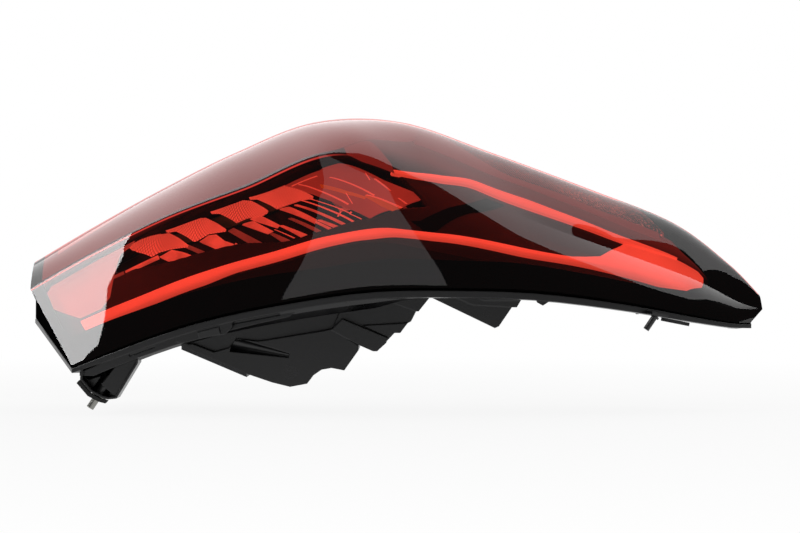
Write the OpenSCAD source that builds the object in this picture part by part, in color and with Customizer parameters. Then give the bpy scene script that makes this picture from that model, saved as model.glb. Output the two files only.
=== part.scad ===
// Tail lamp cluster for the outer corner of a car body.
// X runs from the inner end to the tip, Y across the lamp, and Z out of the car body.
// The origin is on the axis of the main fixing stud, at the seat under its collar.

/* [Overall] */
// Length of the lamp from its inner end to its tip
lamp_length = 498; // [450:2:550]
// Width of the lamp across its opening
lamp_width = 146; // [134:1:160]
// Height over which the lens climbs and falls
lamp_height = 167; // [150:1:185]

/* [Outer lens] */
// Wall of the outer lens
lens_wall = 2.8; // [2.2:0.1:3.4]
// Height of the lens edge above the gap to the housing
lens_edge = 1; // [0.6:0.1:2]
// How far the lens leg stands in from the lens edge
leg_inset = 2.3; // [2:0.1:3]
// Thickness of the lens leg in the channel
leg_wall = 2.9; // [2.2:0.1:3.4]
// Length of the lens leg below the lens edge
leg_length = 3; // [2.4:0.1:5]
// Outward curve of the main face between the near edge and the crease
face_bulge = 9; // [4:0.5:14]

/* [Rim joint] */
// Gap between the lens edge and the lip of the housing
rim_gap = 0.8; // [0.5:0.1:1.2]
// Clearance on each side of the lens leg
leg_gap = 0.3; // [0.2:0.05:0.5]
// Thickness of the sealing bead under the lens leg
bead_height = 0.8; // [0.6:0.1:1.2]
// How far the lip stands proud of the lens edge
lip_proud = 0.4; // [0:0.1:1]
// Thickness of the inner lip of the channel
inner_lip = 2; // [1.6:0.1:2.6]
// Share of the height of the rim joint that is left at the tip and at the inner end
tip_share = 0.6; // [0.5:0.05:1]

/* [Housing] */
// Wall of the housing
housing_wall = 2.5; // [2:0.1:3]
// Floor of the sealing channel
flange_floor = 1.4; // [1.2:0.1:2.4]
// Depth of the tray under the inner half of the lamp
tray_depth = 7; // [4:0.5:10]
// Depth of the tray under the tip half of the lamp
tray_depth_tip = 0.6; // [0.2:0.1:3]
// Distance from the lens edge to the floor of the tray
tray_inset = 14; // [12:0.5:16]
// Depth of the stiffening ribs under the tray
rib_height = 5; // [3:0.5:8]
// Thickness of the stiffening ribs
rib_wall = 2; // [1.5:0.1:3]
// Depth of the near side wall below the lens edge
side_wall_depth = 11.4; // [9:0.2:13]
// How far the hollow in the main pocket reaches in
scoop_depth = 5; // [3:0.5:6]

/* [Inner bezel] */
// Distance from the lens surface down to the bezel
bezel_depth = 12; // [10.5:0.5:14]
// Wall of the bezel
bezel_wall = 2; // [1.5:0.1:2.5]
// Gap around the parts that stand in the bezel
bezel_gap = 0.3; // [0.2:0.05:0.5]

/* [Tail light guide] */
// Width of the light bar at the inner end
bar_width_end = 10; // [7:0.5:12]
// Width of the light bar past the bend
bar_width_bend = 5.5; // [4:0.5:8]
// How far the light guide stands above the bezel
guide_proud = 4; // [2:0.5:6]
// Height of the light guide at the inner end
guide_height = 13; // [10:0.5:15]
// Height of the light guide at the tip
guide_height_tip = 8; // [7:0.5:10]

/* [Stop lamp] */
// Number of stop lamp cells
stop_cells = 4; // [3:1:4]
// Pitch of the stop cells, in stations along the lamp
stop_pitch = 0.52; // [0.48:0.01:0.52]
// Width of a stop cell, in stations along the lamp
cell_width = 0.4; // [0.36:0.01:0.42]
// Wall of the reflectors
cell_wall = 1.6; // [1.2:0.1:2]
// Thickness of the textured optic plates
optic_wall = 1.8; // [1.4:0.1:2.4]
// Step between the shelves of the stop reflector
shelf_step = 2.4; // [1.5:0.1:3]

/* [Electrics] */
// Thickness of the circuit boards
board_wall = 1.6; // [1:0.1:2]
// Side of a light emitting diode package
led_side = 3.5; // [2.5:0.1:4]
// Height of a light emitting diode package
led_height = 1.5; // [0.8:0.1:2]
// Length of the driver board
driver_length = 62; // [50:1:70]
// Width of the driver board
driver_width = 38; // [30:1:42]
// Length of the connector socket outside
socket_length = 30; // [24:1:36]
// Width of the connector socket outside
socket_width = 17; // [14:1:20]
// Depth of the connector socket
socket_depth = 20; // [16:1:24]
// Number of connector terminals
terminal_count = 6; // [4:1:8]

/* [Fixings] */
// Thread diameter of the fixing studs
stud_d = 6; // [5:1:8]
// Free length of the fixing studs
stud_length = 18; // [14:1:22]
// Diameter of the collar of the fixing studs
collar_d = 14; // [12:0.5:18]
// Lean of the fixing studs towards the inner end
stud_lean = 34; // [26:1:40]
// Thread diameter of the small stud on the inner end bracket
end_stud_d = 5; // [4:0.5:6]
// Free length of the small stud on the inner end bracket
end_stud_length = 9; // [6:1:14]
// Diameter of the locating pin near the tip
pin_d = 4; // [3:0.5:5]
// Free length of the locating pin
pin_length = 11; // [8:1:14]

/* [Hidden] */

// Sizes at which the lines below were drawn
drawn = [498, 146, 167];
scale_up = [lamp_length / drawn.x, lamp_width / drawn.y, lamp_height / drawn.z];
function fit(p) = [p.x * scale_up.x, p.y * scale_up.y, p.z * scale_up.z];

// Eleven stations along the lamp, each with a point on the near edge, the crease, the crest
// and the far edge
near_edge = [for (p = [[-135, -97, -11], [-93, -105, 6], [-47, -111, 21], [5, -115, 32],
    [61, -116, 40], [116, -113, 41], [171, -106, 39], [225, -95, 32], [273, -79, 23],
    [301, -65, 18], [317, -54, 17]]) fit(p)];
crease_line = [for (p = [[-169, -59, 40], [-128, -64, 63], [-77, -69, 88], [-24, -72, 108],
    [37, -73, 131], [101, -75, 113], [167, -73, 86], [226, -69, 65], [276, -61, 47],
    [309, -53, 31], [326, -48, 26]]) fit(p)];
crest_line = [for (p = [[-172, -23, 58], [-134, -20, 81], [-86, -17, 108], [-34, -15, 134],
    [21, -15, 155], [80, -17, 155], [142, -21, 134], [211, -27, 108], [267, -33, 85],
    [304, -39, 57], [324, -43, 36]]) fit(p)];
far_edge = [for (p = [[-178, 17, 19], [-137, 23, 38], [-88, 28, 63], [-33, 31, 87],
    [24, 31, 104], [86, 28, 104], [147, 20, 87], [214, 8, 63], [270, -8, 42],
    [304, -24, 26], [319, -36, 21]]) fit(p)];
last = len(near_edge) - 1;

// Catmull-Rom curve through the stations of a line, at station t
function along(line, t) =
    let (n = len(line), i = max(0, min(floor(t), n - 2)), f = t - i,
         a = line[max(i - 1, 0)], b = line[i], c = line[i + 1], d = line[min(i + 2, n - 1)])
    0.5 * (2 * b + (c - a) * f + (2 * a - 5 * b + 4 * c - d) * f * f
        + (3 * b - a - 3 * c + d) * f * f * f);

// Smooth step from 0 at a to 1 at b
function ease(a, b, x) =
    let (u = max(0, min(1, (x - a) / (b - a))))
    u * u * (3 - 2 * u);

function mix(a, b, f) = a + (b - a) * f;

// Cubic from p to q with end slopes m and n
function hermite(p, m, q, n, f) =
    (2 * f * f * f - 3 * f * f + 1) * p + (f * f * f - 2 * f * f + f) * m
    + (3 * f * f - 2 * f * f * f) * q + (f * f * f - f * f) * n;

// The crease is sharp on the inner half, fades out past the bend and comes back at the tip
function crease_sharpness(t) = 1 - ease(3.7, 4.5, t) + ease(5.7, 7, t);

// Point on the outside of the lens at station t, with v from 0 at the near edge, through 1 at
// the crease and 2 at the crest, to 3 at the far edge
function skin(t, v) =
    let (p0 = along(near_edge, t), p1 = along(crease_line, t),
         p2 = along(crest_line, t), p3 = along(far_edge, t),
         sharp = crease_sharpness(t),
         swell = face_bulge * min(1, (t + 0.6) / 2) * min(1, (last + 0.2 - t) / 2)
             * [0, -1, 0.6],
         soft = (p2 - p0) / 2,
         rise = p2 - p1,
         into = sharp * (p1 - p0 - swell) + (1 - sharp) * soft,
         out = sharp * [rise.x, 0.9 * rise.y, 1.5 * rise.z] + (1 - sharp) * soft,
         top = [(p3.x - p1.x) / 2, (p3.y - p1.y) / 2, 0],
         fall = p3 - p2)
    v < 1 ? hermite(p0, p1 - p0 + swell, p1, into, v)
    : v < 2 ? hermite(p1, out, p2, top, v - 1)
    : hermite(p2, top, p3, [fall.x, 0.8 * fall.y, 1.5 * fall.z], v - 2);

// Outward normal of the lens, taken over a short step either way
function skin_normal(t, v) =
    let (dt = 0.02, dv = 0.12,
         a = skin(min(t + dt, last), v) - skin(max(t - dt, 0), v),
         b = skin(t, min(v + dv, 3)) - skin(t, max(v - dv, 0)),
         n = cross(a, b))
    n / norm(n);

// Point at a depth d below the outside of the lens
function under(t, v, d) = skin(t, v) - d * skin_normal(t, v);

// Shares of v and t that a length on the surface takes up
function v_share(t, v, length) =
    length * 0.1 / norm(skin(t, min(v + 0.05, 3)) - skin(t, max(v - 0.05, 0)));
function t_share(t, v, length) =
    length * 0.1 / norm(skin(min(t + 0.05, last), v) - skin(max(t - 0.05, 0), v));

// Solid between an upper and a lower grid of points, where keep says which cells are solid
module slab(upper, lower, keep = function(i, j) true) {
    na = len(upper);
    nb = len(upper[0]);
    function up(i, j) = i * nb + j;
    function low(i, j) = na * nb + i * nb + j;
    function solid(i, j) = i >= 0 && j >= 0 && i < na - 1 && j < nb - 1 && keep(i, j);
    function quad(a, b, c, d) = [[a, b, c], [a, c, d]];
    faces = [for (i = [0 : na - 2], j = [0 : nb - 2]) if (solid(i, j)) each [
        each quad(up(i, j), up(i, j + 1), up(i + 1, j + 1), up(i + 1, j)),
        each quad(low(i, j), low(i + 1, j), low(i + 1, j + 1), low(i, j + 1)),
        each if (!solid(i, j - 1)) quad(up(i, j), up(i + 1, j), low(i + 1, j), low(i, j)),
        each if (!solid(i, j + 1))
            quad(up(i + 1, j + 1), up(i, j + 1), low(i, j + 1), low(i + 1, j + 1)),
        each if (!solid(i - 1, j)) quad(up(i, j + 1), up(i, j), low(i, j), low(i, j + 1)),
        each if (!solid(i + 1, j))
            quad(up(i + 1, j), up(i + 1, j + 1), low(i + 1, j + 1), low(i + 1, j))]];
    polyhedron(points = concat([for (row = upper) each row], [for (row = lower) each row]),
        faces = faces);
}

// Solid between an upper and a lower grid that rings of points join around the edge
module cup(upper, lower, rings) {
    na = len(upper);
    nb = len(upper[0]);
    count = 2 * (na + nb) - 4;
    function grid(i, j, base) = base + i * nb + j;
    function border(base) = [
        for (i = [0 : na - 2]) grid(i, 0, base),
        for (j = [0 : nb - 2]) grid(na - 1, j, base),
        for (i = [na - 1 : -1 : 1]) grid(i, nb - 1, base),
        for (j = [nb - 1 : -1 : 1]) grid(0, j, base)];
    loops = [border(0),
        for (r = [0 : len(rings) - 1]) [for (k = [0 : count - 1]) 2 * na * nb + r * count + k],
        border(na * nb)];
    faces = [
        for (i = [0 : na - 2], j = [0 : nb - 2]) each [
            [grid(i, j, 0), grid(i, j + 1, 0), grid(i + 1, j + 1, 0)],
            [grid(i, j, 0), grid(i + 1, j + 1, 0), grid(i + 1, j, 0)],
            [grid(i, j, na * nb), grid(i + 1, j, na * nb), grid(i + 1, j + 1, na * nb)],
            [grid(i, j, na * nb), grid(i + 1, j + 1, na * nb), grid(i, j + 1, na * nb)]],
        for (r = [0 : len(loops) - 2], k = [0 : count - 1])
            let (a = loops[r], b = loops[r + 1], m = (k + 1) % count)
            each [[a[k], a[m], b[m]], [a[k], b[m], b[k]]]];
    polyhedron(points = concat([for (row = upper) each row], [for (row = lower) each row],
        [for (ring = rings) each ring]), faces = faces);
}

// Points on the rim, a distance in from the lens edge and a height from it
function half_width(t) = (along(far_edge, t).y - along(near_edge, t).y) / 2;
function inset_at(t, e) = min(e, half_width(t) - 0.8);
function end_shift(t, e) = e * max(0, 1 - t) - e * max(0, t - last + 1);
function near_rim(t, e, z) =
    let (s = inset_at(t, e))
    along(near_edge, t) + [end_shift(t, s), s, z];
function far_rim(t, e, z) =
    let (s = inset_at(t, e))
    along(far_edge, t) + [end_shift(t, s), -s, z];
function end_rim(t, w, e, z) = mix(near_rim(t, e, z), far_rim(t, e, z), w);

// The rim joint gets lower towards the tip and the inner end
function tip_fade(t) = mix(1, tip_share, 1 - ease(-0.2, 1, t) + ease(6, 9.5, t));

// Closed ring on the rim: near edge, tip, far edge and inner end. Its height is z at the rim
// joint, and drop more where the tray is deep
function rim_height(t, z, drop) = z * tip_fade(t) - drop * tray_drop(t);
function rim_ring(e, z, drop = 0, w = tray_rows) =
    let (na = len(lens_stations), nb = len(w), lt = lens_stations)
    [for (i = [0 : na - 2]) near_rim(lt[i], e, rim_height(lt[i], z, drop)),
     for (j = [0 : nb - 2]) end_rim(last, w[j], e, rim_height(last, z, drop)),
     for (i = [na - 1 : -1 : 1]) far_rim(lt[i], e, rim_height(lt[i], z, drop)),
     for (j = [nb - 1 : -1 : 1]) end_rim(0, w[j], e, rim_height(0, z, drop))];

// Levels of the rim joint below the lens edge
leg_bottom = -lens_edge - leg_length;
lip_top = -lens_edge - rim_gap;
channel_floor = leg_bottom - bead_height;
flange_bottom = channel_floor - flange_floor;
channel_in = leg_inset + leg_wall + leg_gap;
lip_end = channel_in + inner_lip;
inner_lip_top = lip_top - 0.8;
function tray_drop(t) = mix(tray_depth, tray_depth_tip, ease(3.9, 4.6, t));

// Stations and rows of the lens grid, closer where the surface bends
lens_steps = 32;
lens_stations = [for (i = [0 : lens_steps]) last * i / lens_steps];
tray_rows = [0, 1 / 3, 2 / 3, 1];
lens_rows = [0, 0.18, 0.4, 0.65, 0.87, 1, 1.15, 1.4, 1.65, 1.85, 2, 2.15, 2.4, 2.7, 3];

module outer_lens() {
    outside = [for (t = lens_stations) [for (v = lens_rows) skin(t, v)]];
    inside = [for (t = lens_stations) [for (v = lens_rows)
        let (room = leg_inset + leg_wall - 0.85 * lens_wall,
             near_run = along(crease_line, t).y - along(near_edge, t).y,
             far_run = along(far_edge, t).y - along(crest_line, t).y,
             low = min(0.6, room / near_run),
             high = 3 - min(0.6, room / far_run),
             w = low + (high - low) * v / 3)
        under(t, w, lens_wall) + [end_shift(t, lens_wall), 0, 0]]];
    shares = [for (v = lens_rows) v / 3];
    rings = [for (level = [[0, -lens_edge], [leg_inset, -lens_edge],
            [leg_inset, leg_bottom], [leg_inset + leg_wall, leg_bottom]])
        rim_ring(level[0], level[1], 0, shares)];
    color([0.75, 0.05, 0.05, 0.6]) cup(outside, inside, rings);
}

// Ribbon of sealant that fills the channel under the lens leg
module lens_seal() {
    skim = 0.25;
    low = channel_floor + skim;
    high = leg_bottom - 1.2 * skim;
    out = leg_inset - leg_gap + skim;
    in = channel_in - skim;
    rings = [rim_ring(out, high), rim_ring(out, low), rim_ring(in, low), rim_ring(in, high)];
    count = len(rings[0]);
    faces = [for (r = [0 : 3], k = [0 : count - 1])
        let (a = r * count, b = ((r + 1) % 4) * count, m = (k + 1) % count)
        each [[a + k, a + m, b + k], [a + m, b + m, b + k]]];
    color([0.08, 0.08, 0.08]) polyhedron(points = [for (ring = rings) each ring], faces = faces);
}

// Floor of the tray, inside or outside, at station t and share w of the way to the far side
floor_rise = housing_wall;
floor_in_inset = tray_inset + 1.5;
function floor_in(t, w) =
    end_rim(t, w, floor_in_inset, rim_height(t, flange_bottom, 1) + floor_rise);
function floor_out(t, w) = end_rim(t, w, tray_inset, rim_height(t, flange_bottom, 1));

// Moulded tray with the sealing channel around its rim
module tray() {
    inside = [for (t = lens_stations) [for (w = tray_rows) floor_in(t, w)]];
    outside = [for (t = lens_stations) [for (w = tray_rows) floor_out(t, w)]];
    cup(inside, outside, [
        rim_ring(lip_end + 0.9, inner_lip_top - 0.6, 0.25),
        rim_ring(lip_end, inner_lip_top),
        rim_ring(channel_in, inner_lip_top),
        rim_ring(channel_in, channel_floor),
        rim_ring(leg_inset - leg_gap, channel_floor),
        rim_ring(leg_inset - leg_gap, lip_top),
        rim_ring(-lip_proud, lip_top),
        rim_ring(-lip_proud, flange_bottom),
        rim_ring(4, flange_bottom),
        rim_ring(6, flange_bottom, 0.4)]);
}

// Everything above the floor of the tray and the underside of its rim, to trim what stands
// under it
clear_height = 200;
clear_out = -14;
module room() {
    sunk = [0, 0, -floor_rise / 2];
    inside = [for (t = lens_stations) [for (w = tray_rows) floor_in(t, w) + sunk]];
    above = [for (row = inside) [for (p = row) p + [0, 0, clear_height]]];
    cup(above, inside, [
        rim_ring(clear_out, clear_height),
        rim_ring(clear_out, flange_bottom + 0.6),
        rim_ring(lip_end + 0.6, flange_bottom + 0.6)]);
}

// Side outlines of the pockets under the tray, in X and Z
function side(outline) = [for (p = outline) [p.x * scale_up.x, p.y * scale_up.z]];
pocket_top = 150;
main_bottom = [[-66.4, 3.9], [-19.6, -15.9], [-4, -21.2], [7.8, -24.1], [19, -22],
    [23, -16.6], [28.5, -12.8], [35, -11.7], [43.4, -13.3], [52.8, 0]];
main_outline = side(concat([[-66.4, pocket_top]], main_bottom, [[52.8, pocket_top]]));
main_low_outline = side(concat([[52.8, 3], [35, 13.9], [27.4, 12.3], [-12.6, 5.8],
    [-27.9, 7.4], [-32.3, 1.5], [-42.2, -1.3], [-56, 4]], main_bottom));
far_outline = side([[-52, pocket_top], [-52, 14], [-20, 7], [26, 7], [40, 20],
    [40, pocket_top]]);
second_outline = side([[43.8, pocket_top], [43.8, 32.9], [35.2, 13.8], [53.7, 3.3],
    [64.2, 0], [70.8, 5.3], [76.4, 11.2], [80.2, 11.2], [85.1, 17.7], [87.3, 18.8],
    [90.6, 25.4], [98.2, 33.5], [98.2, pocket_top]]);
second_low_outline = side([[42.2, 20.6], [72.1, 8.1], [71, 4.9], [65, -0.6], [62.3, -0.6],
    [53.6, 3.2], [34.8, 13.4]]);
last_outline = side([[99.8, pocket_top], [99.8, 34.9], [142.6, 14.3], [145.3, 15.5],
    [153.5, 27.5], [156.6, 32.9], [156.6, pocket_top]]);
// Each pocket: its outline, its near wall, its far wall and what its wall is thicker
pockets = [[main_outline, -90, -36, 0], [main_low_outline, -96, -62, 0.6],
    [far_outline, -40, 11, 0], [second_outline, -92, -34, 0],
    [second_low_outline, -99, -60, 0.6], [last_outline, -89, -30, 0]];

// Ledges on the near side of the pockets: outline, near face and far face
third_up_outline = side([[73.2, pocket_top], [73.2, 32], [90.6, 25.5], [92.2, 25.5],
    [100.3, 35.6], [100.3, pocket_top]]);
third_low_outline = side([[55.7, 16.2], [85.1, 17.9], [80.2, 11.6], [76.8, 11.6], [72, 8.4]]);
last_mid_outline = side([[114, pocket_top], [114, 35.7], [127.7, 29.7], [153.9, 28.1],
    [156.9, 28.1], [159.8, 33], [159.8, pocket_top]]);
last_up_outline = side([[126, pocket_top], [126, 36.5], [135.2, 32.5], [158, 32.5],
    [161.5, 37], [161.5, pocket_top]]);
hook_outline = side([[168.3, pocket_top], [168.3, 35.1], [169.6, 31.5], [173.4, 29.4],
    [178.3, 32.6], [179.4, 35.1], [179.4, pocket_top]]);
ledges = [[third_up_outline, -97, -91], [third_low_outline, -96, -91],
    [last_mid_outline, -93, -88], [last_up_outline, -96, -92], [hook_outline, -103.5, -101]];

// Outline carried across the lamp from y0 to y1
module across(outline, y0, y1) {
    translate([0, y1, 0]) rotate([90, 0, 0]) linear_extrude(y1 - y0) polygon(outline);
}
module pocket_body(p) {
    across(p[0], p[1] * scale_up.y, p[2] * scale_up.y);
}
module pocket_room(p) {
    wall = housing_wall + p[3];
    y0 = p[1] * scale_up.y + wall;
    y1 = p[2] * scale_up.y - wall;
    translate([0, y1, 0]) rotate([90, 0, 0]) linear_extrude(y1 - y0)
        offset(delta = -wall) polygon(p[0]);
}

// Conical hollow in the near wall of the main pocket
scoop_from = fit([-31, -96, 4]);
scoop_to = fit([7, -96, -3.5]);
scoop_tip = 1.5;
module scoop(grow) {
    run = scoop_to - scoop_from;
    translate(scoop_from) rotate([0, 90 - atan2(run.z, run.x), 0])
        cylinder(r1 = scoop_depth + grow, r2 = scoop_tip + grow, h = norm(run), $fn = 32);
}

// Walls that hang from the rim on the near side: stations with the depth of their lower edge
module rim_wall(lines, e, wall) {
    function grid(inset) = [for (q = lines)
        [near_rim(q[0], inset, -q[1]), near_rim(q[0], inset, flange_bottom + 1)]];
    slab(grid(e), grid(e + wall));
}
side_wall_inset = 0.8;
tab_inset = 0.1;
panel_inset = 5;
end_step = 2;
clip_station = 2.06;
clip_drop = 10;
clip_size = [14.5, 2, 4.6];
// Grooves in the walls: station, distance in from the lens edge, depth below it and length
grooves = [[1.1, side_wall_inset, 7.6, 18], [2.65, panel_inset, 7.4, 32]];
groove_depth = 0.8;
groove_width = 1.6;
module near_walls() {
    rim_wall([[0.15, side_wall_depth - 2 * end_step],
        for (t = [0.4, 0.75, 1.15, 1.55, 1.95]) [t, side_wall_depth]], side_wall_inset,
        housing_wall);
    rim_wall([[1.6, side_wall_depth - end_step], [1.7, side_wall_depth + 0.3],
        [2, side_wall_depth + 1], [2.28, side_wall_depth + end_step],
        [2.36, side_wall_depth - end_step]], tab_inset, housing_wall);
    rim_wall([[2.3, side_wall_depth + 0.3], [2.7, side_wall_depth - 0.4],
        [3.05, side_wall_depth - 1.1], [3.2, side_wall_depth - 6]], panel_inset,
        housing_wall);
    on_rim(clip_station, tab_inset, -clip_drop) cube(clip_size, center = true);
}
module near_grooves() {
    for (q = grooves) on_rim(q[0], q[1], -q[2])
        cube([q[3], 2 * groove_depth, groove_width], center = true);
}

// Studs and the pin all lean the way the lamp is pushed onto the body
module leaning() {
    rotate([0, stud_lean, 0]) children();
}
press_gap = 0.1;
stud_root = 10;
main_boss_root = stud_root + 8;
end_boss_root = stud_root + 4;
boss_rim = 2;
boss_lip = 0.6;
collar_height = 2;
end_collar_d = end_stud_d + 4;
end_seat = fit([-120, -86, -31]);
pin_station = 7.45;
pin_ear = 8;
pin_collar_d = pin_d + 2;
ear_height = 2.4;
rim_floor = flange_bottom * tip_fade(pin_station);
pin_seat = near_rim(pin_station, -lip_proud - pin_ear / 2, rim_floor);

// Turned to follow the slope of the near edge at a station
module on_rim(t, e, z) {
    a = near_rim(t + 0.15, e, z) - near_rim(t - 0.15, e, z);
    translate(near_rim(t, e, z)) rotate([0, -atan2(a.z, a.x), 0]) rotate([0, 0, atan2(a.y, a.x)])
        children();
}

module stud_boss(collar, root) {
    leaning() translate([0, 0, collar_height - boss_lip])
        cylinder(d = collar + boss_rim, h = root + boss_lip, $fn = 32);
}
module stud_hole(d, root, collar, ceiling = collar_height) {
    leaning() translate([0, 0, ceiling]) {
        translate([0, 0, -1]) cylinder(d = d + 2 * press_gap, h = root + 1, $fn = 32);
        translate([0, 0, -collar]) cylinder(d = collar + 2 * press_gap, h = collar, $fn = 32);
    }
}
module stud(d, length, collar) {
    leaning() {
        translate([0, 0, -length])
            cylinder(d = d, h = length + collar_height + stud_root - 0.5, $fn = 48);
        cylinder(d = collar, h = collar_height, $fn = 48);
    }
}

rib_stations = [0.58, 1.13, 4.9, 5.5, 6.1, 6.7, 7.3, 7.9];
rib_ends = [0.16, 0.86];
rib_sink = 0.5;
rib_corner = 0.2;
module rib(t) {
    hull() for (w = rib_ends, z = [rib_sink, rib_sink - rib_height])
        translate(floor_out(t, w) + [0, 0, z])
            cube([rib_wall, rib_corner, rib_corner], center = true);
}

bracket_outline = side([[-128, 14], [-129.3, -12], [-129.8, -19.1], [-122.8, -27.3],
    [-115.7, -31.1], [-111.4, -32.2], [-105.9, -31.6], [-91.8, -8.3], [-90, 14]]);
bracket_near = -99;
bracket_far = -80;
bracket_depth = 12;
bracket_lip = 1.5;
// Wedge that stands in the bracket
wedge_outline = side([[-93, 0], [-99, -3], [-107.2, -11], [-116.1, -22.5],
    [-108, -29.5], [-105.5, -30.5], [-92.5, -8.5]]);
wedge_near = -97;
module bracket() {
    difference() {
        across(bracket_outline, bracket_near * scale_up.y, bracket_far * scale_up.y);
        translate([0, (bracket_near + bracket_depth) * scale_up.y, 0]) rotate([90, 0, 0])
            linear_extrude(2 * bracket_depth) offset(delta = -bracket_lip)
                polygon(bracket_outline);
    }
    across(wedge_outline, wedge_near * scale_up.y, (bracket_far - 1) * scale_up.y);
}

// Bosses that carry the driver board in the main pocket
driver_at = fit([-12, -65, 8.2]);
driver_inset = 5;
driver_hole_d = 3.4;
post_d = 8;
post_hole_d = 3;
post_hole = 9;
post_drop = 60;
module driver_corners() {
    for (x = [-1, 1], y = [-1, 1])
        translate(driver_at + [x * (driver_length / 2 - driver_inset),
            y * (driver_width / 2 - driver_inset), 0]) children();
}
module driver_posts() {
    intersection() {
        driver_corners() translate([0, 0, -post_drop])
            cylinder(d = post_d, h = post_drop, $fn = 24);
        translate([0, 0, housing_wall / 2]) pocket_body(pockets[0]);
    }
}

// Flat pad on the far side that the connector socket sits on
socket_at = fit([100, -8, 69]);
socket_flange = 3;
socket_seat_height = 2.5;
socket_wall = 1.8;
socket_rim = 3;
socket_block_height = 30;
module socket_pad() {
    translate(socket_at + [0, 0, socket_block_height / 2])
        cube([socket_length + 2 * (socket_flange + socket_rim),
            socket_width + 2 * (socket_flange + socket_rim), socket_block_height],
            center = true);
}

// Vents under the far side of the tray
vent_places = [[1.6, 0.82], [7, 0.75]];
vent_stem_d = 8;
vent_stem = 9;
vent_root = 3;
vent_cap_d = 14;
vent_cap_height = 5;
module vents() {
    for (q = vent_places) translate(floor_out(q[0], q[1])) children();
}

ear_length = 12;
module pin_ear_body() {
    on_rim(pin_station, 0, rim_floor)
        translate([-ear_length / 2, -lip_proud - pin_ear, 0])
            cube([ear_length, pin_ear + 1, ear_height]);
}

// Everything that stands under the tray
module outside_of_tray() {
    difference() {
        union() {
            for (p = pockets) pocket_body(p);
            for (p = ledges) pocket_body(p);
            near_walls();
            bracket();
            translate(end_seat) stud_boss(end_collar_d, end_boss_root);
            for (t = rib_stations) rib(t);
            socket_pad();
            vents() translate([0, 0, -vent_stem])
                cylinder(d = vent_stem_d, h = vent_stem + vent_root, $fn = 24);
        }
        room();
    }
}

module housing() {
    color([0.16, 0.16, 0.17]) difference() {
        union() {
            difference() {
                union() {
                    tray();
                    outside_of_tray();
                    pin_ear_body();
                }
                difference() {
                    for (p = pockets) pocket_room(p);
                    scoop(housing_wall);
                }
                scoop(0);
                near_grooves();
            }
            driver_posts();
            stud_boss(collar_d, main_boss_root);
        }
        stud_hole(stud_d, stud_root, collar_d);
        translate(end_seat) stud_hole(end_stud_d, stud_root, end_collar_d);
        translate(pin_seat) stud_hole(pin_d, ear_height, pin_collar_d, 0);
        driver_corners() translate([0, 0, -post_hole]) cylinder(d = post_hole_d,
            h = post_hole + 1, $fn = 24);
    }
}

// Lanes that run along the lamp: places across the section, given at each station
guide_low_line = [0.375, 0.34, 0.345, 0.37, 0.378, 0.455, 0.59, 0.745, 0.86, 0.93, 0.95];
blade_low_line = [1.3, 1.3, 1.29, 1.25, 1.17, 1.14, 1.32, 1.275, 1.25, 1.22, 1.22];
blade_high_line = [1.4, 1.4, 1.39, 1.35, 1.24, 1.2, 1.425, 1.35, 1.33, 1.3, 1.3];
cell_low_line = [0.55, 0.56, 0.55, 0.55, 0.56, 0.63, 0.77, 0.93, 1.03, 1.07, 1.07];
cell_high_line = [1.2, 1.2, 1.2, 1.18, 1.1, 1.06, 1.1, 1.13, 1.13, 1.13, 1.13];
function guide_low(t) = along(guide_low_line, t);
function bar_width(t) = mix(bar_width_end, bar_width_bend, ease(1, 4, t));
function guide_high(t) = guide_low(t) + v_share(t, guide_low(t), bar_width(t));
function blade_low(t) = along(blade_low_line, t);
function blade_high(t) = along(blade_high_line, t);

// Where the inner parts start and end along the lamp
guide_start = 0.45;
blade_start = 4.65;
patch_start = 6.5;
patch_end = 8.35;
stop_start = 1.58;
indicator_start = 3.62;
indicator_end = 4.95;
cell_slant = 0.75;
patch_slant = 0.7;

// The cells slant across the lamp, and so does the start of the end patch
function slanted(t, v) =
    let (cells = ease(0.6, 1.4, t) * (1 - ease(4.9, 6.6, t)),
         tent = max(0, min((t - 5) / (patch_start - 5),
             (patch_end - t) / (patch_end - patch_start))),
         across = max(0, min(1, (v - guide_high(t)) / (blade_low(t) - guide_high(t)))))
    t - cell_slant * (min(v, 1.3) - 1) * cells + patch_slant * tent * across;
function lane_point(t, v, d) = under(slanted(t, v), v, d);
function bezel_at(t) = bezel_depth * mix(1, 0.66, ease(8, 9.3, t));

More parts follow.
